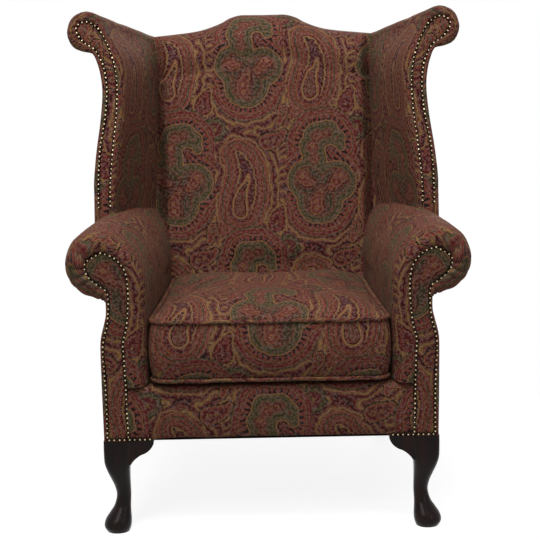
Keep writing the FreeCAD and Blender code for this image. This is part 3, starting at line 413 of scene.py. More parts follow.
def small_motifs(tree, point, cloth, fabric):
    """Floret, drops, fan, leaf and berries between the large motifs, laid over the ground."""
    rust, ochre, dark = fabric.rust, fabric.ochre, fabric.outline
    olive, moss, wine = fabric.olive, fabric.moss, fabric.wine
    # Place, circles, their blend, bands of colour from the middle, reach, rays and length of the rays.
    for x, y, circles, blend, stops, edge, count, depth in (
        (-86, -142, ((0, 0, 0),), 1.0,
         ((0.0, ochre), (4.5, dark), (6.5, wine), (16.0, rust), (18.0, dark), (20.0, olive), (25.0, moss),
          (29.0, dark)), 30.0, 9, 2.4),
        (-112, -78, ((0, -8, 0), (3, 8, -4), (9, 22, -10), (14, 31, -15)), 9.0,
         ((0.0, ochre), (3.0, dark), (5.0, wine), (11.0, dark), (12.5, rust), (16.0, wine), (20.0, dark),
          (22.0, ochre)), 24.0, 20, 0.8),
        (112, -98, ((0, 0, 0),), 1.0,
         ((0.0, wine), (5.0, ochre), (7.5, dark), (9.0, rust), (18.0, wine), (21.0, dark), (23.0, ochre)),
         25.0, 13, 4.0),
        (79, -108, ((0, 12, 0), (-2, 0, -1), (-6, -12, -4), (-9, -22, -7)), 8.0,
         ((0.0, dark), (3.0, ochre), (5.0, dark), (7.0, rust), (11.0, ochre), (13.0, dark)), 14.0, 12, 0.7),
        (56, -168, ((-14, -4, 0), (2, 0, -2), (18, 8, -7), (28, 18, -12)), 9.0,
         ((0.0, rust), (3.0, dark), (5.0, ochre), (7.0, wine), (12.0, dark), (14.0, rust), (18.0, ochre),
          (20.0, dark)), 22.0, 22, 0.9),
        (-6, 190, ((0, 0, 0),), 1.0, ((0.0, ochre), (3.0, wine), (8.0, dark), (9.5, ochre)), 11.0, 8, 1.2),
        (66, 62, ((0, 0, 0), (5, 11, -4)), 6.0,
         ((0.0, wine), (3.5, ochre), (6.0, dark), (8.0, rust), (11.0, dark)), 12.0, 7, 1.0),
    ):
        near = half_drop(tree, point, x, y, fabric)
        size = blob(tree, near, circles, blend)
        size = add(tree, "Math", spokes(tree, near, 0, 0, count), depth, size, operation="MULTIPLY_ADD")
        cloth = lay_over(tree, cloth, bands(tree, size, 0.0, 30.0, stops), size, edge)
    return cloth


def paisley_group(fabric):
    """Node group for a paisley cloth: weave coordinates in metres in, colour and thread height out."""
    tree = bpy.data.node_groups.new("Paisley jacquard", "ShaderNodeTree")
    tree.interface.new_socket("Weave", in_out="INPUT", socket_type="NodeSocketVector")
    tree.interface.new_socket("Colour", in_out="OUTPUT", socket_type="NodeSocketColor")
    tree.interface.new_socket("Height", in_out="OUTPUT", socket_type="NodeSocketFloat")
    entry = tree.nodes.new("NodeGroupInput").outputs[0]
    leave = tree.nodes.new("NodeGroupOutput")
    # Metres to the millimetres of the motifs, which are woven 4% larger than they are drawn.
    flat = add(tree, "VectorMath", entry, (960.0, 960.0, 0.0), operation="MULTIPLY")
    # A hand-drawn card wavers by about 2 mm over the width of a hand.
    waver = add(tree, "TexNoise", flat, None, 0.018, 2.0, noise_dimensions="2D")
    centred = add(tree, "VectorMath", waver.outputs["Color"], (0.5, 0.5, 0.5), operation="SUBTRACT")
    point = add(tree, "VectorMath", centred, (9.0, 9.0, 0.0), flat, operation="MULTIPLY_ADD")

    body, body_colour = trefoil(tree, point, fabric)
    plume, plume_colour = upright_plume(tree, point, fabric)
    near_both = add(tree, "Math", body, add(tree, "Math", plume, 14.0, operation="ADD"), 26.0,
                    operation="SMOOTH_MIN")
    cloth = echo_lines(tree, point, near_both, fabric)
    cloth = small_motifs(tree, point, cloth, fabric)
    cloth = lay_over(tree, cloth, plume_colour, plume, 26.0)
    cloth = lay_over(tree, cloth, body_colour, body, 37.0)
    # Sprigs stand about 6 mm apart over every field.
    sprig = add(tree, "TexVoronoi", point, None, 0.16, feature="SMOOTH_F1", voronoi_dimensions="2D")
    sprig_tint = add(tree, "ValToRGB", sprig.outputs["Distance"],
                     stops=((0.0, fabric.ochre), (0.20, fabric.rust), (0.32, "#bcbcbc")))
    amount = add(tree, "MapRange", sprig.outputs["Distance"], 0.22, 0.34, 0.55, 0.0)
    cloth = add(tree, "MixRGB", amount, cloth, sprig_tint)

    # Hairlines about 4 mm apart shade every band, as single picks of another colour do.
    hair = add(tree, "Math", add(tree, "Math", near_both, 1.55, operation="MULTIPLY"), operation="SINE")
    hatch = add(tree, "MapRange", hair, -1.0, 1.0, 0.74, 1.06)
    # Threads: a heathery unevenness from yarn to yarn, and weft ribs about 1.1 mm apart, drawn three times
    # as coarse as spun so that they show.
    heather = add(tree, "TexNoise", flat, None, 0.33, 4.0, 0.7, noise_dimensions="2D")
    stretched = add(tree, "VectorMath", flat, (0.16, 1.1, 0.0), operation="MULTIPLY")
    yarn = add(tree, "TexNoise", stretched, None, 0.9, 2.0, 0.6, noise_dimensions="2D")
    shade = add(tree, "Math", add(tree, "MapRange", heather.outputs["Fac"], 0.25, 0.75, 0.62, 1.32),
                add(tree, "MapRange", yarn.outputs["Fac"], 0.25, 0.75, 0.80, 1.20), operation="MULTIPLY")
    shade = add(tree, "Math", shade, hatch, operation="MULTIPLY")
    tinted = add(tree, "MixRGB", 1.0, cloth, shade, blend_type="MULTIPLY")
    tree.links.new(tinted.outputs[0], leave.inputs["Colour"])
    ribs = add(tree, "TexWave", flat, 0.314 / 3.3, 0.6, 1.0, bands_direction="Y")
    fuzz = add(tree, "Math", heather.outputs["Fac"], 1.2, operation="MULTIPLY")
    raised = add(tree, "Math", ribs.outputs["Fac"], fuzz, operation="ADD")
    tree.links.new(raised.outputs[0], leave.inputs["Height"])
    return tree


def jacquard(name, group, shift, turned):
    """Wool and viscose jacquard: soft, matt, with a faint bloom where its nap meets the light."""
    material, tree, shader = new_material(name)
    coords = add(tree, "UVMap", uv_map="Weave")
    placed = add(tree, "Mapping", coords, (shift[0], shift[1], 0.0), (0.0, 0.0, turned))
    cloth = tree.nodes.new("ShaderNodeGroup")
    cloth.node_tree = group
    tree.links.new(placed.outputs[0], cloth.inputs[0])
    relief = add(tree, "Bump")
    wire(tree, relief, Strength=0.5, Distance=0.0006, Height=cloth.outputs["Height"])
    wire(tree, shader, Base_Color=cloth.outputs["Colour"], Roughness=0.82, Specular_IOR_Level=0.15,
         Sheen_Weight=0.05, Sheen_Roughness=0.45, Sheen_Tint=linear("#d8b59a"), Normal=relief)
    return material


def timber(name, dark, middle, light, grain, rough, coat):
    """Planed timber: long grain up the piece, open pores, and polish where coat is above nothing."""
    material, tree, shader = new_material(name)
    place = add(tree, "TexCoord").outputs["Object"]
    long_grain = add(tree, "Mapping", place, None, None, (1000.0 / grain, 1000.0 / grain, 90.0 / grain))
    figure = add(tree, "TexNoise", long_grain, None, 0.35, 5.0, 0.6)
    pores = add(tree, "TexNoise", long_grain, None, 2.2, 3.0, 0.75)
    colour = add(tree, "ValToRGB", figure.outputs["Fac"],
                 stops=((0.3, dark), (0.5, middle), (0.72, light)))
    specks = add(tree, "MapRange", pores.outputs["Fac"], 0.3, 0.55, 0.55, 1.0)
    shaded = add(tree, "MixRGB", 1.0, colour, specks, blend_type="MULTIPLY")
    relief = add(tree, "Bump")
    wire(tree, relief, Strength=0.12 if coat else 0.3, Distance=0.0003, Height=pores.outputs["Fac"])
    wear = add(tree, "MapRange", figure.outputs["Fac"], 0.3, 0.7, rough - 0.05, rough + 0.08)
    wire(tree, shader, Base_Color=shaded, Roughness=wear, Coat_Weight=coat, Coat_Roughness=0.06,
         Specular_IOR_Level=0.10, Normal=relief)
    return material


def nail_brass_painted_highlight(name, bright, tarnish):
    """Antiqued brass, tarnished in random patches, with its crown painted bright as a painted highlight and
    its rim painted dark, partly patina and partly painted shade.
    """
    material, tree, shader = new_material(name)
    rim = add(tree, "SeparateXYZ", add(tree, "UVMap", uv_map="Weave")).outputs["X"]
    place = add(tree, "TexCoord").outputs["Object"]
    stain = add(tree, "TexNoise", place, None, 140.0, 2.0, 0.6)
    # Painted highlight and shade: the crown takes the bright colour and the rim the dark one, mixed with
    # random patches of patina.
    patina_and_painted_shading = add(tree, "Math", stain.outputs["Fac"], 0.5, rim, operation="MULTIPLY_ADD")
    colour = add(tree, "ValToRGB", patina_and_painted_shading, stops=((0.40, bright), (0.70, tarnish)))
    dull = add(tree, "MapRange", patina_and_painted_shading, 0.5, 1.1, 0.16, 0.5)
    wire(tree, shader, Base_Color=colour, Metallic=1.0, Roughness=dull)
    return material


def metal(name, bright, tarnish, rough, patch):
    """Pressed or turned metal: polished on its high spots, tarnished in patches."""
    material, tree, shader = new_material(name)
    place = add(tree, "TexCoord").outputs["Object"]
    stain = add(tree, "TexNoise", place, None, 1000.0 / patch, 3.0, 0.6)
    colour = add(tree, "ValToRGB", stain.outputs["Fac"],
                 stops=((0.35, tarnish), (0.62, bright)))
    dull = add(tree, "MapRange", stain.outputs["Fac"], 0.35, 0.65, rough + 0.15, rough)
    wire(tree, shader, Base_Color=colour, Metallic=1.0, Roughness=dull)
    return material


def plain_weave(name, warp, weft, thread, rough):
    """Plain woven cloth: two threads crossing over and under each other at the given spacing."""
    material, tree, shader = new_material(name)
    place = add(tree, "TexCoord").outputs["Object"]
    count = 314.0 / thread
    across = add(tree, "TexWave", place, count, 0.4, 1.0, bands_direction="X")
    along = add(tree, "TexWave", place, count, 0.4, 1.0, bands_direction="DIAGONAL")
    over = add(tree, "Math", across.outputs["Fac"], along.outputs["Fac"], operation="MULTIPLY")
    fibres = add(tree, "TexNoise", place, None, 400.0 / thread, 3.0, 0.7)
    mixed = add(tree, "Math", over, add(tree, "Math", fibres.outputs["Fac"], 0.6, operation="MULTIPLY"),
                operation="ADD")
    colour = add(tree, "ValToRGB", mixed, stops=((0.15, warp), (0.95, weft)))
    relief = add(tree, "Bump")
    wire(tree, relief, Strength=0.5, Distance=0.0005, Height=mixed)
    wire(tree, shader, Base_Color=colour, Roughness=rough, Specular_IOR_Level=0.2, Normal=relief)
    return material


def foam(name, colour, hollow):
    """Polyether foam: pale, matt, with open cells about 1 mm across drawn at 3 mm."""
    material, tree, shader = new_material(name)
    place = add(tree, "TexCoord").outputs["Object"]
    cells = add(tree, "TexVoronoi", place, None, 330.0)
    # Painted shade: each cell is darker towards its middle, where its hollow lies.
    cells_painted_shade = add(tree, "ValToRGB", cells.outputs["Distance"],
                 stops=((0.1, hollow), (0.6, colour)))
    relief = add(tree, "Bump")
    wire(tree, relief, Strength=0.4, Distance=0.0008, Height=cells.outputs["Distance"])
    wire(tree, shader, Base_Color=cells_painted_shade, Roughness=0.9, Specular_IOR_Level=0.2, Normal=relief)
    return material


MATERIALS = {}


def make_materials(fabric, trim):
    """Every finish of the chair, made once and shared by its pieces."""
    group = paisley_group(fabric)
    # One cloth throughout: each piece is cut from another part of the pattern, the piping on the bias.
    for name, shift, turned in (
        ("Jacquard_back", (0.038, -0.075), 0.0), ("Jacquard_seat", (0.0, 0.10), 0.0),
        ("Jacquard_arm", (0.04, 0.12), 0.0), ("Jacquard_wing", (0.07, 0.21), 0.0),
        ("Jacquard_facing", (0.05, 0.03), 0.0), ("Jacquard_border", (0.0, 0.05), 0.0),
        ("Jacquard_outside", (0.1, 0.0), 0.0), ("Jacquard_bias", (0.02, 0.013), 0.785),
    ):
        MATERIALS[name] = jacquard(name, group, shift, turned)
    for name, make, *values in (
        # Nearly black red-brown under a thin polish, whose highlights draw the curve of the legs.
        ("Mahogany_polished", timber, "#0a0403", "#170806", "#26100a", 9.0, 0.26, 0.08),
        # Pale bare timber, matt, seen only where no cloth hides the frame.
        ("Beech_planed", timber, "#a97f55", "#c39a6d", "#d3b083", 5.0, 0.6, 0.0),
        # Dull gold crowns as a painted highlight, in dark rims that are partly patina and partly painted
        # shade, so that each nail reads as a bead.
        ("Brass_antiqued", nail_brass_painted_highlight, trim.nail_bright, trim.nail_rim_patina_and_shade),
        # Yellow metal, a small glint on the dark zip.
        ("Brass_zip", metal, "#cbaa65", "#a2814b", 0.3, 4.0),
        # Cool grey with a soft shine, against the warm timber round the bolts.
        ("Steel_zinc_plated", metal, "#bfc1c2", "#a0a09c", 0.35, 6.0),
        # Coarse straw-coloured webs under the seat and behind the back.
        ("Jute_webbing", plain_weave, "#5e4a30", "#a58a60", 3.0, 0.9),
        # Black and matt, so that the underside stays in the dark.
        ("Bottoming_cloth", plain_weave, "#0d0d0e", "#232325", 1.6, 0.95),
        # Dark brown tape, close to the ground of the cloth.
        ("Zip_tape_twill", plain_weave, "#2a1813", "#4a2c22", 1.2, 0.85),
        # Pale yellow, with painted shade in the hollow of each open cell.
        ("Foam_cut", foam, "#d9c99a", "#8f7f57"),
    ):
        MATERIALS[name] = make(name, *values)


# Lines of the upholstery, in millimetres: x from the chair's middle and height above the floor.

# Front nail line of an arm from the deck over the scroll to the notch behind it, the skin that bulges
# beyond it, and the same skin at the back of the arm.
ARM_NAIL = ((313, 334), (316, 368), (318, 416), (316, 441), (309, 471), (304.4, 512), (303, 545), (305, 578),
            (312, 600), (326, 617), (345, 629), (358, 633), (376, 630), (390, 616), (394, 600), (388, 583),
            (374, 567), (358, 556), (349, 545), (347, 526))
ARM_SKIN = ((264, 334), (264, 368), (264, 416), (264, 441), (264, 471), (264, 512), (264, 545), (269, 582),
            (281, 615), (303, 645), (334, 668), (362, 678), (395, 672), (424, 650), (440, 606), (430, 565),
            (404, 539), (378, 530), (364, 527), (353, 523))
ARM_REAR = ((231, 334), (231, 368), (231, 416), (231, 441), (231, 471), (231, 512), (231, 545), (236, 578),
            (247, 608), (267, 636), (297, 658), (327, 666), (357, 660), (383, 640), (397, 600), (388, 564),
            (365, 541), (341, 532), (329, 529), (325, 523))
# Nail lines either side of an arm's facing, from its foot to the top of its scroll.
FACING_INNER = ((313, 212), (314.8, 306), (315.3, 342), (316.2, 368), (317, 397), (318, 416.6), (318.5, 429),
                (316.2, 441), (309, 471), (304.4, 512), (303.2, 557), (308, 590), (319.5, 610.5), (337, 625),
                (358, 633))
FACING_OUTER = ((359, 212), (358.7, 306), (359.6, 345), (360.5, 370), (362.5, 400), (362.5, 418),
                (361.5, 430), (358, 449), (350, 478), (346.5, 518), (349, 547), (370, 564), (390, 584),
                (392, 612), (358, 633))
# Outside of an arm: nail line, edge of the side panel, and the panel at the back corner.
SIDE_NAIL = ((347, 526), (347.5, 496), (351, 477.5), (359, 447), (362.5, 418), (359.6, 345), (359, 212))
SIDE_SKIN = ((353, 523), (353.5, 496), (358.6, 473), (365.5, 446), (368, 418), (368, 345), (368, 212))
SIDE_REAR = ((325, 523), (325, 496), (325, 473), (325, 446), (325, 418), (325, 345), (325, 212))
# Wing: nail line from its foot over the scroll head to the notch below it, padded skin, and rear edge.
WING_NAIL = ((363, 595), (366, 715), (359, 808), (350, 879), (345, 954), (354, 1028), (381, 1092.5),
             (395, 1107), (416, 1116), (432, 1110.5), (438.7, 1094), (432.5, 1079), (421.6, 1068.5),
             (402.8, 1056.8))
WING_SKIN = ((352, 595), (355, 715), (348, 808), (339, 879), (334, 954), (341, 1030), (371.5, 1097),
             (384, 1126), (416, 1139.5), (448.5, 1126), (461.5, 1094), (453.5, 1066), (436, 1051),
             (403, 1042.5))
WING_REAR = ((262, 590), (261.6, 690), (262, 808), (261.6, 879), (262, 954), (261.6, 1001), (262, 1039),
             (266, 1060), (284, 1071), (299, 1069), (311, 1063), (317, 1056), (320, 1048), (320, 1036))
# Outside of a wing: nail line from the notch down, edge of the panel, and the panel at the back corner.
FLANK_NAIL = ((402.8, 1056.8), (388.3, 1041.7), (374.4, 1004.8), (369, 949), (375.7, 884), (388.5, 814),
              (393.6, 742), (393.6, 712), (391, 595))
FLANK_SKIN = ((403, 1042.5), (396, 1031), (386, 998), (381.3, 951), (386.6, 884), (397.4, 813),
              (404, 750), (404.5, 710), (405, 595))
FLANK_REAR = ((320, 1036), (323, 1020), (325, 990), (325, 951), (325, 884), (325, 813), (325, 750),
              (325, 710), (325, 595))
# Nail lines either side of a wing's facing, from its foot to the top of its scroll.
FILLET_INNER = ((363, 595), (366, 715), (359, 808), (350, 879), (345, 954), (348, 1003), (354, 1028),
                (367, 1067), (381, 1092.5), (395, 1107), (405, 1113), (416, 1116))
FILLET_OUTER = ((391, 595), (393.6, 712), (388.5, 814), (376, 884), (369, 950), (372, 990), (378.6, 1019),
                (395, 1050), (421.6, 1068.5), (438.7, 1094), (432, 1110.5), (416, 1116))
# Sections of a front leg: share of its height, how far it is drawn in from the corner, width, and the
# rounding of its corners as a share of half the width.
LEG_SECTIONS = ((1, 0, 60, 0.12), (0.87, -1, 59, 0.30), (0.755, -0.5, 56.5, 0.45), (0.66, 4.1, 50, 0.60),
                (0.566, 11, 42.5, 0.80), (0.472, 18, 35.5, 0.92), (0.37, 21.5, 32, 0.97),
                (0.264, 16, 36.5, 0.97), (0.193, 6, 47, 0.97), (0.123, -4, 58, 0.97), (0.057, -7, 60, 0.97),
                (0, -1, 50, 0.97))
# Crest of the back, from the chair's middle outwards.
CREST = ((0, 1122), (30, 1122), (60, 1121.5), (87, 1113.8), (111, 1101), (160, 1085), (220, 1077),
         (285, 1071), (330, 1068))


def crest_height(x):
    """Height of the back's crest at a distance from the chair's middle."""
    marks = through(CREST)
    return np.interp(np.abs(x), marks[:, 0], marks[:, 1])


def push(grid, amount):
    """Moves each point of a grid along the surface's normal by its own amount in millimetres."""
    across = np.gradient(grid, axis=1)
    along = np.gradient(grid, axis=0)
    normal = np.cross(across, along)
    normal /= np.maximum(np.linalg.norm(normal, axis=2, keepdims=True), 1e-9)
    return grid + normal * np.asarray(amount)[..., None]


def unevenness(grid, reach, height, seed):
    """Soft hand-stuffed swells: height in millimetres for each point of a grid."""
    flat = grid.reshape(-1, 3) / reach
    values = [noise.noise(Vector((p[0] + seed, p[1], p[2] - seed))) for p in flat]
    return height * np.array(values).reshape(grid.shape[:2])


def from_nails(nail, skin, rear, plane, lead, depths, rear_plane, rows, per=9, stop=None):
    """Cloth that starts at a nail line, rolls over the front edge and runs back to a rear line.

    lead is the roll's profile, as the share of the way from nail line to skin and the depth behind the plane
    of the nails. depths are shares of the way back where rows of points lie. Where stop is given, the cloth
    ends at that plane, short of the rear line.
    """
    nail, skin, rear = (through(line, per) for line in (nail, skin, rear))
    grid = []
    for share, depth in evenly(through(lead), rows):
        line = nail + (skin - nail) * share
        y = np.array([plane(z) for z in line[:, 1]]) + depth
        grid.append(np.stack([line[:, 0], y, line[:, 1]], axis=1))
    start = lead[-1][1]
    for share in depths:
        line = skin + (rear - skin) * share
        front = np.array([plane(z) for z in skin[:, 1]]) + start
        back = np.array([rear_plane(z) for z in rear[:, 1]])
        if stop:
            reach = share * (np.array([stop(z) for z in rear[:, 1]]) - front) / (back - front)
            line = skin + (rear - skin) * reach[:, None]
            y = front + (back - front) * reach
        else:
            y = front + (back - front) * share
        grid.append(np.stack([line[:, 0], y, line[:, 1]], axis=1))
    return np.array(grid)


def facing_grid(inner, outer, plane, crown, columns=12, per=9):
    """A flat nailed panel between two lines, a little fuller in its middle."""
    inner, outer = through(inner, per), through(outer, per)
    grid = []
    for share in np.linspace(0.0, 1.0, columns):
        line = inner + (outer - inner) * share
        full = crown * math.sin(math.pi * share) ** 0.6
        y = np.array([plane(z) for z in line[:, 1]]) - full
        grid.append(np.stack([line[:, 0], y, line[:, 1]], axis=1))
    return np.array(grid)


def flat_weave(grid):
    """Weave coordinates of a panel that faces forward: its width and height."""
    return grid[..., 0] / 1000.0, grid[..., 2] / 1000.0


def make_back():
    """The inside back: a plump panel under a serpentine crest, tucked in deeply beside the wings."""
    columns = np.concatenate([np.linspace(-285, -235, 14)[:-1], np.linspace(-235, 235, 80),
                              np.linspace(235, 285, 14)[1:]])
    grid = []
    for x in columns:
        top = float(crest_height(x))
        column = [(inner_y(z), z) for z in np.linspace(331.0, top - 112.0, 90)]
        over = ((112, 0), (86, 0.5), (60, 2.5), (34, 9), (14, 25), (3, 48), (0, 72), (0, 98), (0, 116))
        for below, depth in evenly(through(over, 6), 40)[1:]:
            z = top - below
            column.append((inner_y(top - min(below, 60.0)) + depth, z))
        line = np.array([(x, y, z) for y, z in column])
        tuck = 46.0 * ease((abs(x) - 240.0) / 36.0) ** 1.3
        fall = ease((line[:, 2] - 500.0) / 60.0)
        rise = (line[:, 2] - 500.0) / 600.0
        belly = 13.0 * math.cos(math.pi * x / 640.0) ** 2 * fall * np.clip(1.0 - rise, 0.0, 1.0)
        past = np.clip((line[:, 1] - inner_y(top)) / 60.0, 0.0, 1.0)
        line[:, 1] += tuck * (1.0 - past) - belly * (1.0 - past)
        grid.append(line)
    grid = np.array(grid).transpose(1, 0, 2)
    swell = unevenness(grid, 120.0, 3.0, 3.1) * ease((grid[..., 2] - 505.0) / 60.0)
    grid = push(grid, -np.abs(swell) * 0.5 + swell)
    back = cloth_grid("inside_back_cover", grid, grid[..., 0] / 1000.0, run_lengths(grid, 0))
    finish_piece(back, "chair", "cover_fabric", "Jacquard_back", "inside_back")


def make_arm(fabric):
    """A scroll arm: stuffed roll whose cover is gathered round the scroll and nailed at its facing."""
    lead = ((0.0, 1.0), (0.08, -5.0), (0.28, -8.5), (0.52, -6.5), (0.76, 2.0), (0.92, 17.0), (1.0, 41.0))
    # The rear line lies inside the back, and the cloth stops just under the outside back.
    grid = from_nails(ARM_NAIL, ARM_SKIN, ARM_REAR, lambda z: FRONT, lead,
                      np.linspace(0.0, 1.0, 46)[1:], lambda z: 312.0, 26, stop=lambda z: back_y(z) - 3.5)
    rows, columns = grid.shape[:2]
    # Pleats: folds fan out from the nails round the scroll and fade before the top of the arm.
    place = np.linspace(0.0, 19.0, columns)
    round_scroll = ease((place - 7.0) / 2.5) * ease((19.6 - place) / 2.0)
    row = np.arange(rows)
    fade = np.interp(row, (0, 3, 9, 15, 24), (0.3, 1.0, 0.85, 0.22, 0.0))
    phase = place * 3.4 + 1.0 * np.sin(place * 1.7)
    fold = np.abs(np.sin(phase)) ** 0.7 - 0.6
    creases = fabric.pleat_depth * 1000.0 * fade[:, None] * (round_scroll * fold)[None, :]
    swells = unevenness(grid, 95.0, 2.6, 7.7) * np.interp(row, (0, 8), (0.0, 1.0))[:, None]
    # Where the cushion stands against the arm, the swells only go away from it.
    beside = (place < 6.5)[None, :] & (grid[..., 2] < 520.0)
    swells = np.where(beside, -np.abs(swells), swells)
    grid = push(grid, creases + swells)
    arm = cloth_grid("arm_cover_right", grid, run_lengths(grid, 0), run_lengths(grid, 1))
    for obj in both_sides(arm, "cover_fabric", "Jacquard_arm", "arm_pad"):
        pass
    # The end of the roll beside the outside back is closed by a flat panel.
    edge = grid[-1][grid[-1][:, 0] >= 322.0]
    along = walked(edge)[:, None]
    along /= along[-1]
    inner = edge[0] + (edge[-1] - edge[0]) * along
    inner[:, 0] = 322.0
    panel = np.array([edge + (inner - edge) * share for share in np.linspace(0.0, 1.0, 9)])
    panel[..., 1] += 0.4
    end = cloth_grid("arm_end_cover_right", panel, *flat_weave(panel), thick=2.5)
    both_sides(end, "cover_fabric", "Jacquard_outside")


def make_wing(fabric):
    """A wing: padded S-shaped cheek under a rolled scroll head, running back to a deep seam."""
    lead = ((0.0, 1.0), (0.15, -5.0), (0.45, -7.5), (0.8, -3.0), (1.0, 8.0))
    grid = from_nails(WING_NAIL, WING_SKIN, WING_REAR, wing_y, lead,
                      np.linspace(0.0, 1.0, 40)[1:], lambda z: raked_y(z) - 4.5, 14, 10)
    rows, columns = grid.shape[:2]
    place = np.linspace(0.0, 13.0, columns)
    row = np.arange(rows)
    # The stuffing swells the cheek between its nailed front and the seam at the back.
    swell = 13.0 * np.sin(np.pi * np.clip((row - 6) / 45.0, 0, 1)) ** 0.9
    swell = swell[:, None] * ease((place - 0.2) / 1.5)[None, :] * ease((6.5 - place) / 2.0)[None, :]
    scroll = ease((place - 5.6) / 1.4)
    fade = np.interp(row, (0, 2, 6, 10, 20), (0.2, 1.0, 0.8, 0.2, 0.0))
    fold = np.abs(np.sin(place * 6.2 + 0.8 * np.sin(place * 2.3))) ** 0.7 - 0.6
    creases = 0.75 * fabric.pleat_depth * 1000.0 * fade[:, None] * (scroll * fold)[None, :]
    loose = unevenness(grid, 85.0, 2.2, 21.0) * np.interp(row, (0, 8), (0.0, 1.0))[:, None]
    grid = push(grid, swell + creases + loose)
    wing = cloth_grid("wing_cover_right", grid, run_lengths(grid, 0), run_lengths(grid, 1))
    for obj in both_sides(wing, "cover_fabric", "Jacquard_wing", "wing_pad"):
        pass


def make_outsides():
    """Tight covers outside the arms and wings and across the back, drawn over a thin layer of wadding."""
    lead = ((0.0, 1.0), (0.2, -3.5), (0.6, -4.5), (0.9, 1.0), (1.0, 6.0))
    depths = np.linspace(0.0, 1.0, 24)[1:]
    side = from_nails(SIDE_NAIL, SIDE_SKIN, SIDE_REAR, lambda z: -392.5, lead, depths,
                      lambda z: back_y(z) - 3.0, 10)
    flank = from_nails(FLANK_NAIL, FLANK_SKIN, FLANK_REAR, wing_y, lead, depths,
                       lambda z: raked_y(z) - 3.5, 10)
    for grid, node in ((side, "outside_arm"), (flank, "outside_wing")):
        grid = push(grid, unevenness(grid, 140.0, 1.2, 3.0))
        panel = cloth_grid(node + "_cover_right", grid, run_lengths(grid, 0), grid[..., 2] / 1000.0,
                           thick=2.5)
        both_sides(panel, "cover_fabric", "Jacquard_outside", node)
    grid = []
    for x in np.linspace(-326.0, 326.0, 90):
        top = float(crest_height(x)) - 1.0
        corner = ease((abs(x) - 312.0) / 14.0)
        column = []
        for z in np.linspace(UNDERSIDE, top, 110):
            hollow = 3.0 * math.sin(math.pi * min(1.0, (z - UNDERSIDE) / 860.0))
            column.append((x, back_y(z) + 3.0 - 5.0 * corner - hollow, z))
        grid.append(column)
    grid = np.array(grid).transpose(1, 0, 2)
    grid = push(grid, unevenness(grid, 160.0, 1.2, 31.0))
    back = cloth_grid("outside_back_cover", grid, grid[..., 0] / 1000.0, grid[..., 2] / 1000.0, thick=2.5,
                      turn=True)
    finish_piece(back, "chair", "cover_fabric", "Jacquard_outside", "outside_back")


def make_facings():
    """The flat scrolls at the front of the arms and wings, padded with a single layer of felt."""
    arm = facing_grid(FACING_INNER, FACING_OUTER, lambda z: FRONT, 3.0)
    wing = facing_grid(FILLET_INNER, FILLET_OUTER, wing_y, 2.5)
    for grid, node in ((arm, "arm_facing"), (wing, "wing_facing")):
        panel = cloth_grid(node + "_cover_right", grid, *flat_weave(grid), turn=True)
        both_sides(panel, "cover_fabric", "Jacquard_facing", node)


def make_border():
    """The border below the cushion, and the platform cloth that the cushion lies on."""
    grid = []
    for x in np.linspace(-314.0, 314.0, 110):
        low = 216.5 - 4.5 * float(ease((abs(x) - 252.0) / 8.0))
        profile = ((-372, low + 1), (-384, low), (-391, low + 3), (-395.5, low + 22),
                   (-397, 0.5 * (low + 330)), (-395, 312), (-390, 328), (-380, 333.5), (-352, 334.5))
        grid.append([(x, y, z) for y, z in smooth_line(profile, 48)])
    grid = np.array(grid).transpose(1, 0, 2)
    grid = push(grid, unevenness(grid, 70.0, 1.3, 11.0))
    border = cloth_grid("front_border_cover", grid, grid[..., 0] / 1000.0, run_lengths(grid, 0), thick=2.5)
    finish_piece(border, "chair", "cover_fabric", "Jacquard_border", "front_border")
    grid = []
    for y in np.linspace(-358.0, 118.0, 50):
        half = arm_inner(y) + 4.0
        row = []
        for share in np.linspace(-1.0, 1.0, 50):
            edge = max(abs(share) ** 6, (max(0.0, -y - 330.0) / 28.0) ** 2 * 0.9)
            row.append((half * share, y, 341.2 - 6.0 * min(1.0, edge)))
        grid.append(row)
    grid = np.array(grid)
    deck = cloth_grid("deck_cover", grid, grid[..., 0] / 1000.0, grid[..., 1] / 1000.0, thick=2.5)
    finish_piece(deck, "chair", "cover_fabric", "Jacquard_border", "seat_deck")


def make_dust_cover():
    """Bottoming cloth, tacked tight under the rails."""
    front, rear, inset = -386.0, 231.0, 7.0
    grid = []
    for y in np.linspace(front, rear, 30):
        half = side_x(y) - inset
        sag = 1.6 * math.sin(math.pi * (y - front) / (rear - front))
        grid.append([(half * share, y, UNDERSIDE - 0.2 - sag * (1 - share ** 2))
                     for share in np.linspace(-1.0, 1.0, 30)])
    grid = np.array(grid)
    cloth = cloth_grid("bottoming_cloth", grid, grid[..., 0] / 1000.0, grid[..., 1] / 1000.0, thick=0.7,
                       turn=True)
    finish_piece(cloth, "chair", "dust_cloth", "Bottoming_cloth", "dust_cover")


def nail_rows():
    """Places of the right-hand nails, in millimetres, with their lean: rows of the arm, wing and border."""
    arm = np.vstack([through(FACING_INNER), through(FACING_OUTER)[::-1]])
    wing = np.vstack([through(FILLET_INNER), through(FILLET_OUTER)[::-1]])
    rows = []
    for line, plane, slope in (
        (arm[arm[:, 1] > 222.0], lambda z: FRONT - 0.6, 0.0),
        (wing[wing[:, 1] > 677.0], lambda z: wing_y(z) - 0.8, math.tan(math.radians(WING_LEAN))),
    ):
        steps = int(round(walked(line)[-1] / NAIL_PITCH))
        rows.append([(x, plane(z), z, slope) for x, z in evenly(line, steps + 1)])
    rows.append([(x, -396.0, 217.5, 0.0) for x in np.linspace(355.0, 266.0, 9)])
    return rows


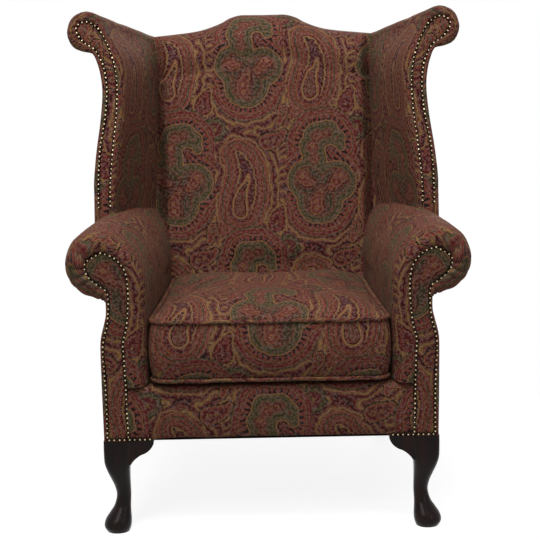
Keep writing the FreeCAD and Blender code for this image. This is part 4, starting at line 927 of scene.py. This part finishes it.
def make_nails(trim):
    """Dome-headed upholstery nails, each pressed in by hand and never quite square."""
    radius = trim.nail_diameter * 500.0
    # Rings of the dome and its apex, as shares of its radius: distance from the axis, and height.
    profile = ((1.0, 0.0), (0.96, 0.20), (0.78, 0.46), (0.46, 0.66), (0.0, 0.76))
    around, rings = 12, len(profile) - 1
    rng = np.random.default_rng(5)
    rows = nail_rows()
    for stem, numbers in (("arm_nails", (0, 2)), ("wing_nails", (1,))):
        verts, faces = [], []
        for x, y, z, slope in (nail for number in numbers for nail in rows[number]):
            tilt = rng.uniform(-0.10, 0.10, 2)
            out = Vector((tilt[0], -1.0, tilt[1] + slope)).normalized()
            side = out.cross(Vector((0, 0, 1))).normalized()
            up = side.cross(out)
            size = radius * rng.uniform(0.96, 1.04)
            centre, start = Vector((x, y, z)), len(verts)
            for share, height in profile[:-1]:
                for step in range(around):
                    angle = 2 * math.pi * step / around
                    rim = share * (math.cos(angle) * side + math.sin(angle) * up)
                    verts.append(centre + size * (rim + (height + 0.05) * out))
            verts.append(centre + size * (profile[-1][1] + 0.05) * out)
            verts.append(centre - size * 0.3 * out)
            apex, last = start + rings * around, start + (rings - 1) * around
            for step in range(around):
                after = (step + 1) % around
                for ring in range(start, last, around):
                    faces.append((ring + after, ring + step, ring + step + around, ring + after + around))
                faces.append((last + after, last + step, apex))
                faces.append((start + step, start + after, apex + 1))
        nails = link(stem + "_right", verts, faces)
        # The coordinate that the brass reads: 1 at the rim of a head and 0 on its crown. The brass paints a
        # highlight on the crown and shade at the rim from it.
        shares = np.concatenate([np.repeat([share for share, height in profile[:-1]], around), [0.0, 1.0]])
        shares = np.tile(shares, len(verts) // len(shares))
        weave(nails, np.stack([shares, shares], axis=1))
        both_sides(nails, "zip_brass", "Brass_antiqued")


def cushion_side_points(z, shrink, count):
    """Outline of the cushion as four runs of points from corner to corner, front run first."""
    front, rear = -405.0 + shrink, inner_y(min(z, CUSHION_HIGH)) - 6.0 - shrink
    wide = arm_inner(front) - 1.5 - shrink
    narrow = arm_inner(rear) - 1.5 - shrink
    big, small = 34.0 + 0.15 * shrink, 17.0 + 0.15 * shrink
    centres = ((-wide + big, front + big, big, 225), (wide - big, front + big, big, 315),
               (narrow - small, rear - small, small, 45), (-narrow + small, rear - small, small, 135))
    sides = []
    for index in range(4):
        x0, y0, r0, a0 = centres[index]
        x1, y1, r1, a1 = centres[(index + 1) % 4]
        leave = [(x0 + r0 * math.cos(math.radians(a)), y0 + r0 * math.sin(math.radians(a)))
                 for a in np.linspace(a0, a0 + 45, 7)]
        arrive = [(x1 + r1 * math.cos(math.radians(a)), y1 + r1 * math.sin(math.radians(a)))
                  for a in np.linspace(a1 - 45, a1, 7)]
        start, end = np.array(leave[-1]), np.array(arrive[0])
        inward = np.array([-(end - start)[1], (end - start)[0]]) / np.linalg.norm(end - start)
        straight = [start + (end - start) * t + inward * 3.4 * math.sin(math.pi * t)
                    for t in np.linspace(0, 1, 24)[1:-1]]
        run = evenly(np.array(leave + [tuple(p) for p in straight] + arrive), count + 1)
        sides.append(run[:-1])
    return np.vstack(sides)


def rim_place(i, j, count):
    """Place round the rim, from the front left corner, of a point on the edge of a square grid."""
    if j == 0:
        return i
    if i == count:
        return count + j
    if j == count:
        return 3 * count - i
    return 4 * count - j


def cushion_mesh():
    """Points and faces of the cushion's cover before it is stuffed: the boxing, then the two panels."""
    count, ring = CUSHION_STEPS, 4 * CUSHION_STEPS
    verts, faces = [], []
    for z in np.linspace(CUSHION_LOW, CUSHION_HIGH, CUSHION_RINGS):
        full = math.sin(math.pi * (z - CUSHION_LOW) / (CUSHION_HIGH - CUSHION_LOW))
        verts += [(x, y, z) for x, y in cushion_side_points(z, 9.0 - 9.6 * full ** 0.55, count)]
    for level in range(CUSHION_RINGS - 1):
        for step in range(ring):
            after = (step + 1) % ring
            low, high = level * ring, (level + 1) * ring
            faces.append((low + step, low + after, high + after, high + step))
    middle = np.array([0.0, -155.0])
    for level, seam in ((CUSHION_RINGS - 1, CUSHION_HIGH), (0, CUSHION_LOW)):
        outline = cushion_side_points(seam, 9.0, count)
        grid = {}
        for i in range(count + 1):
            for j in range(count + 1):
                if i in (0, count) or j in (0, count):
                    grid[i, j] = level * ring + rim_place(i, j, count) % ring
                    continue
                a, b = 2.0 * i / count - 1.0, 2.0 * j / count - 1.0
                reach = max(abs(a), abs(b))
                spot = middle
                if reach > 0.0:
                    # The same place on the rim, found by walking the square's edge.
                    place = rim_place((a / reach + 1) * count / 2, (b / reach + 1) * count / 2, count) % ring
                    first, part = int(place) % ring, place - int(place)
                    rim = outline[first] * (1 - part) + outline[(first + 1) % ring] * part
                    spot = middle + (rim - middle) * reach
                # The top is crowned, and the bottom drops a little inside its seam.
                if level:
                    z = seam + 29.0 * (1.0 - reach ** 2.4) ** 0.5
                else:
                    z = seam - 5.0 * min(1.0, (1.0 - reach) / 0.07)
                grid[i, j] = len(verts)
                verts.append((spot[0], spot[1], z))
        for i in range(count):
            for j in range(count):
                quad = (grid[i, j], grid[i + 1, j], grid[i + 1, j + 1], grid[i, j + 1])
                faces.append(quad if level else quad[::-1])
    return verts, faces


def cushion_weave(cushion, verts):
    """Weave coordinates of the cushion: its boxing is a strip that runs round it, and its panels lie flat."""
    ring = 4 * CUSHION_STEPS
    rim = cushion_side_points(CUSHION_HIGH, 9.0, CUSHION_STEPS)
    lengths = walked(np.vstack([rim, rim[:1]]))
    layer = cushion.data.uv_layers.new(name="Weave")
    for polygon in cushion.data.polygons:
        boxing = polygon.index < (CUSHION_RINGS - 1) * ring
        for corner, vertex in zip(polygon.loop_indices, polygon.vertices):
            x, y, z = verts[vertex]
            if boxing:
                # The last face of a ring ends at the strip's full length, not at its start.
                closing = vertex % ring == 0 and polygon.index % ring == ring - 1
                along = lengths[ring if closing else vertex % ring]
                layer.data[corner].uv = ((along - 264.0) / 1000.0, z / 1000.0)
            else:
                layer.data[corner].uv = (x / 1000.0, (y + 405.0 + CUSHION_HIGH) / 1000.0)


def stuff(cushion, verts):
    """Presses the cover out from inside by cloth simulation, held at its upper seam and its bottom panel."""
    pins = cushion.vertex_groups.new(name="Seams")
    held = [i for i, vertex in enumerate(verts)
            if vertex[2] <= CUSHION_LOW + 0.01 or i // (4 * CUSHION_STEPS) == CUSHION_RINGS - 1]
    pins.add(held, 1.0, "REPLACE")
    cloth = cushion.modifiers.new("Stuffing", "CLOTH")
    settings = cloth.settings
    settings.quality = 6
    settings.mass = 0.35
    settings.tension_stiffness = settings.compression_stiffness = 22.0
    settings.shear_stiffness = 8.0
    settings.bending_stiffness = 0.6
    settings.use_pressure = True
    settings.uniform_pressure_force = 2.2
    settings.shrink_min = -0.012
    settings.effector_weights.gravity = 0.0
    settings.vertex_group_mass = "Seams"
    scene = bpy.context.scene
    cloth.point_cache.frame_start, cloth.point_cache.frame_end = 1, 20
    for number in range(1, 21):
        scene.frame_set(number)
    bpy.context.view_layer.objects.active = cushion
    bpy.ops.object.modifier_apply(modifier=cloth.name)
    scene.frame_set(1)
    cushion.vertex_groups.clear()


def make_cushion():
    """The loose seat cushion: crowned panels and a boxing, stuffed by cloth simulation."""
    verts, faces = cushion_mesh()
    cushion = link("cushion_cover_cloth", verts, faces)
    cushion_weave(cushion, verts)
    rest = np.array(verts) + (0.0, SHIFT, 0.0)
    stuff(cushion, verts)
    moved = np.empty(len(verts) * 3, np.float32)
    cushion.data.vertices.foreach_get("co", moved)
    swell = moved.reshape(-1, 3).astype(float) * 1000.0 - rest
    # Stuffing swells the crown and the front freely, and the sides and back only as far as the arms allow.
    on_top, in_front = rest[:, 2] > CUSHION_HIGH + 0.5, rest[:, 1] < -372.0
    limit = np.where(on_top, 10.0, np.where(in_front, 6.0, 0.6))
    swell *= np.minimum(1.0, limit / np.maximum(np.linalg.norm(swell, axis=1), 1e-6))[:, None]
    # The core keeps the top and the front from falling in.
    swell[on_top, 2] = np.maximum(swell[on_top, 2], 0.0)
    swell[in_front, 1] = np.minimum(swell[in_front, 1], 0.0)
    final = rest + swell
    uneven = np.array([noise.noise(Vector((p[0] / 110.0, p[1] / 110.0, 4.0))) for p in final])
    final[:, 2] += 3.4 * uneven * ease((final[:, 2] - 480.0) / 14.0)
    cushion.data.vertices.foreach_set("co", (final / 1000.0).astype(np.float32).reshape(-1))
    cushion.data.update()
    finish_piece(cushion, "cushion", "cover_fabric", "Jacquard_seat", "cushion_cover")


def make_piping(trim):
    """Piping along both seams of the cushion: a cord in a strip of the cloth cut on the bias."""
    count, ring = CUSHION_STEPS, 4 * CUSHION_STEPS
    radius = trim.piping_diameter * 500.0
    circle = np.linspace(0, 2 * math.pi, 13)
    for z, name, nodes in ((CUSHION_LOW, "piping_lower", ("cushion_piping",)),
                           (CUSHION_HIGH, "piping_upper", ())):
        line = cushion_side_points(z, 4.5, count)
        grid = []
        for step in range(ring + 1):
            x, y = line[step % ring]
            before, after = line[(step - 1) % ring], line[(step + 1) % ring]
            out = np.array([after[1] - before[1], before[0] - after[0]])
            out /= np.linalg.norm(out)
            # The upper seam sags along its front run, where a sitter's legs press on it.
            sags = z == CUSHION_HIGH and step < count
            height = z - 1.6 * math.sin(math.pi * step / count) * sags
            height += 0.5 * math.sin(step * 0.37) + 0.4 * math.sin(step * 0.83 + 1.0)
            grid.append([(x + out[0] * radius * math.cos(a), y + out[1] * radius * math.cos(a),
                          height + radius * math.sin(a)) for a in circle])
        grid = np.array(grid)
        grid[-1] = grid[0]
        cord = cloth_grid(name, grid, run_lengths(grid, 0), run_lengths(grid, 1), thick=0.0, turn=True)
        apply(cord, "WELD", merge_threshold=0.00005)
        finish_piece(cord, "cushion", "piping_fabric", "Jacquard_bias", *nodes)


def make_legs():
    """Front cabriole legs: rounded squares that swell at the knee, thin to an ankle and end in a pad foot."""
    # The corner's rounding is scaled so that it counts along the curve as the other measures do.
    marks = [(share * UNDERSIDE, drawn, wide, corner * 10.0) for share, drawn, wide, corner in LEG_SECTIONS]
    around = 48
    angles = (np.arange(around) + 0.5) * math.tau / around
    spin = np.stack([np.cos(angles), np.sin(angles)], axis=1)
    rings = []
    for z, drawn, wide, corner in smooth_line(marks, 90):
        half = wide / 2.0
        radius = half * min(1.0, corner / 10.0)
        centre = np.array((369.0 - drawn - half, FRONT + drawn + half))
        flat = centre + np.sign(spin) * (half - radius) + spin * radius
        rings.append(np.column_stack([flat, np.full(around, z)]))
    leg = cloth_grid("front_leg_turned_right", np.array(rings[::-1]), wrap=True, thick=0.0, turn=True)
    shape = bmesh.new()
    shape.from_mesh(leg.data)
    bmesh.ops.holes_fill(shape, edges=[edge for edge in shape.edges if edge.is_boundary], sides=0)
    bmesh.ops.recalc_face_normals(shape, faces=shape.faces)
    shape.to_mesh(leg.data)
    shape.free()
    both_sides(leg, "mahogany", "Mahogany_polished", "front_leg")


def finish_frame():
    """Timber, webbing, foam and metal finishes for the pieces that the cloth leaves in sight."""
    finishes = (
        (("front_leg", "rear_leg", "knee_brackets"), "Mahogany_polished"),
        (("seat_webbing", "back_webbing"), "Jute_webbing"), (("leg_bolts",), "Steel_zinc_plated"),
        (("cushion_core",), "Foam_cut"), (("zip_chain",), "Zip_tape_twill"), (("zip_slider",), "Brass_zip"),
    )
    for name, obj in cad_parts.items():
        chosen = "Beech_planed"
        for stems, material in finishes:
            if name.startswith(stems):
                chosen = material
        obj.data.materials.clear()
        obj.data.materials.append(MATERIALS[chosen])


def camera_for_photo():
    """The camera that saw the chair: 3.4 m in front and 1.15 m up, looking down by 10.55 degrees."""
    pitch, yaw, roll = math.radians(10.55), math.radians(0.41), math.radians(-1.0)
    ahead = Vector((math.sin(yaw) * math.cos(pitch), math.cos(yaw) * math.cos(pitch), -math.sin(pitch)))
    right = Vector((math.cos(yaw), -math.sin(yaw), 0.0))
    up = right.cross(ahead)
    right, up = right * math.cos(roll) + up * math.sin(roll), up * math.cos(roll) - right * math.sin(roll)
    data = bpy.data.cameras.new("Camera")
    data.lens, data.sensor_width = 95.03, 36.0
    camera = bpy.data.objects.new("Camera", data)
    matrix = Matrix((right, up, -ahead)).transposed().to_4x4()
    matrix.translation = (-0.0186, -3.3854, 1.1485)
    camera.matrix_world = matrix
    bpy.context.scene.collection.objects.link(camera)
    bpy.context.scene.camera = camera


def lamp(name, place, aim, size, watts, colour):
    """A soft box: an area lamp aimed at a point."""
    data = bpy.data.lights.new(name, "AREA")
    data.shape, data.size, data.energy, data.color = "SQUARE", size, watts, colour
    obj = bpy.data.objects.new(name, data)
    obj.location = place
    obj.rotation_euler = (Vector(aim) - Vector(place)).to_track_quat("-Z", "Y").to_euler()
    bpy.context.scene.collection.objects.link(obj)


def followed(tree):
    """1 for a ray that an eye follows: from the camera, off a polished face or through a clear one."""
    path = add(tree, "LightPath")
    rays = add(tree, "Math", path.outputs["Is Camera Ray"], path.outputs["Is Glossy Ray"], operation="ADD")
    return add(tree, "Math", rays, path.outputs["Is Transmission Ray"], operation="ADD", use_clamp=True)


def make_stage(stage):
    """Pale paper floor, white surround and soft boxes."""
    mesh = bpy.data.meshes.new("Floor")
    shape = bmesh.new()
    bmesh.ops.create_circle(shape, cap_ends=True, segments=96, radius=14.0)
    shape.to_mesh(mesh)
    shape.free()
    floor = bpy.data.objects.new("Floor", mesh)
    bpy.context.scene.collection.objects.link(floor)
    material = bpy.data.materials.new("Studio_paper")
    tree = empty_tree(material)
    # Lit paper round the chair, which takes its shadow, turns into plain white further out.
    place = add(tree, "TexCoord").outputs["Object"]
    reach = add(tree, "VectorMath", place, operation="LENGTH").outputs["Value"]
    edge = add(tree, "MapRange", reach, 0.5, 1.1, 0.0, 1.0)
    lit = add(tree, "BsdfDiffuse", tuple(stage.floor_colour))
    glow = add(tree, "Emission", (1.0, 1.0, 1.0, 1.0), stage.floor_glow)
    white = add(tree, "Emission", (1.0, 1.0, 1.0, 1.0), 1.0)
    both = add(tree, "MixShader", edge, add(tree, "AddShader", lit, glow), white)
    plain = add(tree, "BsdfDiffuse", (0.35, 0.35, 0.35, 1.0))
    add(tree, "OutputMaterial", add(tree, "MixShader", followed(tree), plain, both))
    mesh.materials.append(material)
    world = bpy.data.worlds.new("Studio")
    bpy.context.scene.world = world
    tree = empty_tree(world)
    white = add(tree, "Background", (1.0, 1.0, 1.0, 1.0), 1.0)
    soft = add(tree, "Background", (1.0, 0.99, 0.98, 1.0), stage.ambient)
    add(tree, "OutputWorld", add(tree, "MixShader", followed(tree), soft, white))
    lamp("Key", (-1.5, -3.0, 3.0), (0.0, -0.1, 0.6), 1.6, stage.key_watts, (1.0, 0.985, 0.96))
    lamp("Fill", (2.2, -3.2, 1.9), (0.0, 0.0, 0.6), 1.8, stage.fill_watts, (1.0, 1.0, 1.0))
    lamp("Rear", (0.8, 3.2, 2.0), (0.0, 0.0, 0.6), 1.8, stage.rear_watts, (1.0, 1.0, 1.0))
    lamp("Top", (-0.2, -1.3, 3.7), (0.0, 0.0, 0.8), 2.0, stage.top_watts, (1.0, 1.0, 1.0))
    camera_for_photo()
    bpy.context.scene.view_settings.view_transform = "Standard"


# Add-on


def colour_property(label, meaning, code):
    """A colour that a user can change, from its sRGB hex value."""
    return bpy.props.FloatVectorProperty(name=label, description=meaning, subtype="COLOR", size=4, min=0.0,
                                         max=1.0, default=linear(code))


class ArmchairFabric(bpy.types.PropertyGroup):
    """Sizes and colours of the cover cloth."""

    repeat_width: bpy.props.FloatProperty(name="Repeat width", description="Width of one pattern repeat",
                                          default=0.345, unit="LENGTH")
    repeat_height: bpy.props.FloatProperty(name="Repeat height", description="Height of one pattern repeat",
                                           default=0.572, unit="LENGTH")
    pleat_depth: bpy.props.FloatProperty(name="Pleat depth", description="Depth of the pleats round a scroll",
                                         default=0.0050, unit="LENGTH")
    ground: colour_property("Ground", "Brown ground of the cloth", "#5f3a2a")
    rust: colour_property("Rust", "Brick-red weft", "#72342a")
    ochre: colour_property("Ochre", "Gold accents", "#8a6539")
    olive: colour_property("Olive", "Green outlines", "#4e472b")
    moss: colour_property("Moss", "Dark green fields", "#39321f")
    plum: colour_property("Plum", "Purple fields", "#421e24")
    wine: colour_property("Wine", "Dark red drawing", "#521819")
    outline: colour_property("Outline", "Darkest drawing lines", "#1f100a")


class ArmchairTrim(bpy.types.PropertyGroup):
    """Sizes and colours of the nails and the piping."""

    nail_diameter: bpy.props.FloatProperty(name="Nail diameter", description="Width of a nail's head",
                                           default=0.0098, unit="LENGTH")
    piping_diameter: bpy.props.FloatProperty(name="Piping diameter", description="Thickness of the piping",
                                             default=0.009, unit="LENGTH")
    # The crown colour is a painted highlight, and the colour at the rim is partly patina and partly painted
    # shade.
    nail_bright: colour_property("Nail", "Brass with a painted highlight on the crown of a nail", "#d0c09a")
    nail_rim_patina_and_shade: colour_property("Nail patina and painted shade", "Tarnish and painted shade round a nail", "#1d1510")


class ArmchairStage(bpy.types.PropertyGroup):
    """Floor and lamps."""

    floor_colour: colour_property("Floor", "Colour of the paper floor", "#a8a8a8")
    floor_glow: bpy.props.FloatProperty(name="Floor glow", description="Brightness added to the floor",
                                        default=0.86)
    ambient: bpy.props.FloatProperty(name="Surround", description="Light from the surround", default=0.17)
    key_watts: bpy.props.FloatProperty(name="Key", description="Power of the key lamp", default=31.0,
                                       unit="POWER")
    fill_watts: bpy.props.FloatProperty(name="Fill", description="Power of the fill lamp", default=10.0,
                                        unit="POWER")
    rear_watts: bpy.props.FloatProperty(name="Rear", description="Power of the lamp behind", default=20.0,
                                        unit="POWER")
    top_watts: bpy.props.FloatProperty(name="Top", description="Power of the top lamp", default=85.0,
                                       unit="POWER")


def ready(context):
    """Makes the finishes the first time that a piece needs them."""
    if not MATERIALS:
        make_materials(context.scene.armchair_fabric, context.scene.armchair_trim)


class ARMCHAIR_OT_frame(bpy.types.Operator):
    """Finish the timber, webbing and metal pieces"""

    bl_idname = "armchair.frame"
    bl_label = "Frame finishes"

    def execute(self, context):
        """Finishes the frame and turns the front legs."""
        ready(context)
        finish_frame()
        make_legs()
        return {"FINISHED"}


class ARMCHAIR_OT_back(bpy.types.Operator):
    """Upholster the inside back"""

    bl_idname = "armchair.back"
    bl_label = "Inside back"

    def execute(self, context):
        """Makes the inside back."""
        ready(context)
        make_back()
        return {"FINISHED"}


class ARMCHAIR_OT_arms(bpy.types.Operator):
    """Upholster the scroll arms"""

    bl_idname = "armchair.arms"
    bl_label = "Arms"

    def execute(self, context):
        """Makes both arms."""
        ready(context)
        make_arm(context.scene.armchair_fabric)
        return {"FINISHED"}


class ARMCHAIR_OT_wings(bpy.types.Operator):
    """Upholster the wings"""

    bl_idname = "armchair.wings"
    bl_label = "Wings"

    def execute(self, context):
        """Makes both wings."""
        ready(context)
        make_wing(context.scene.armchair_fabric)
        return {"FINISHED"}


class ARMCHAIR_OT_outsides(bpy.types.Operator):
    """Cover the outside of the arms, wings and back"""

    bl_idname = "armchair.outsides"
    bl_label = "Outside covers"

    def execute(self, context):
        """Makes the covers outside the arms, the wings and the back."""
        ready(context)
        make_outsides()
        return {"FINISHED"}


class ARMCHAIR_OT_facings(bpy.types.Operator):
    """Cover the front scrolls of the arms and wings"""

    bl_idname = "armchair.facings"
    bl_label = "Facings"

    def execute(self, context):
        """Makes the four facings."""
        ready(context)
        make_facings()
        return {"FINISHED"}


class ARMCHAIR_OT_seat(bpy.types.Operator):
    """Cover the border, the platform and the underside"""

    bl_idname = "armchair.seat"
    bl_label = "Border and platform"

    def execute(self, context):
        """Makes the border, the platform and the dust cover."""
        ready(context)
        make_border()
        make_dust_cover()
        return {"FINISHED"}


class ARMCHAIR_OT_nails(bpy.types.Operator):
    """Drive the rows of dome-headed nails"""

    bl_idname = "armchair.nails"
    bl_label = "Nails"

    def execute(self, context):
        """Makes the nails of both sides."""
        ready(context)
        make_nails(context.scene.armchair_trim)
        return {"FINISHED"}


class ARMCHAIR_OT_cushion(bpy.types.Operator):
    """Stuff the seat cushion and sew on its piping"""

    bl_idname = "armchair.cushion"
    bl_label = "Cushion"

    def execute(self, context):
        """Makes the cushion's cover and its piping."""
        ready(context)
        make_cushion()
        make_piping(context.scene.armchair_trim)
        return {"FINISHED"}


class ARMCHAIR_OT_stage(bpy.types.Operator):
    """Set the floor, the lamps and the camera"""

    bl_idname = "armchair.stage"
    bl_label = "Stage"

    def execute(self, context):
        """Makes the floor, the surround, the lamps and the camera."""
        make_stage(context.scene.armchair_stage)
        return {"FINISHED"}


OPERATORS = (ARMCHAIR_OT_frame, ARMCHAIR_OT_back, ARMCHAIR_OT_arms, ARMCHAIR_OT_wings, ARMCHAIR_OT_outsides,
             ARMCHAIR_OT_facings, ARMCHAIR_OT_seat, ARMCHAIR_OT_nails, ARMCHAIR_OT_cushion, ARMCHAIR_OT_stage)
GROUPS = (("armchair_fabric", ArmchairFabric), ("armchair_trim", ArmchairTrim),
          ("armchair_stage", ArmchairStage))


class ARMCHAIR_PT_dressing(bpy.types.Panel):
    """Buttons for each piece and the sizes and colours they use"""

    bl_label = "Armchair"
    bl_idname = "ARMCHAIR_PT_dressing"
    bl_space_type = "VIEW_3D"
    bl_region_type = "UI"
    bl_category = "Armchair"

    def draw(self, context):
        """Lists the properties of each group, then the buttons."""
        for name, group in GROUPS:
            box = self.layout.box()
            values = getattr(context.scene, name)
            for key in group.__annotations__:
                box.prop(values, key)
        for operator in OPERATORS:
            self.layout.operator(operator.bl_idname)


def register():
    """Adds the property groups, the operators and the panel."""
    for name, group in GROUPS:
        bpy.utils.register_class(group)
        setattr(bpy.types.Scene, name, bpy.props.PointerProperty(type=group))
    for operator in OPERATORS:
        bpy.utils.register_class(operator)
    bpy.utils.register_class(ARMCHAIR_PT_dressing)


def unregister():
    """Takes away what register adds, last first."""
    bpy.utils.unregister_class(ARMCHAIR_PT_dressing)
    for operator in reversed(OPERATORS):
        bpy.utils.unregister_class(operator)
    for name, group in reversed(GROUPS):
        delattr(bpy.types.Scene, name)
        bpy.utils.unregister_class(group)


def main():
    """Dresses the whole chair."""
    register()
    bpy.ops.armchair.stage()
    bpy.ops.armchair.frame()
    bpy.ops.armchair.back()
    bpy.ops.armchair.arms()
    bpy.ops.armchair.wings()
    bpy.ops.armchair.outsides()
    bpy.ops.armchair.facings()
    bpy.ops.armchair.seat()
    bpy.ops.armchair.nails()
    bpy.ops.armchair.cushion()
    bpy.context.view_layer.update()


if __name__ == "__main__":
    main()
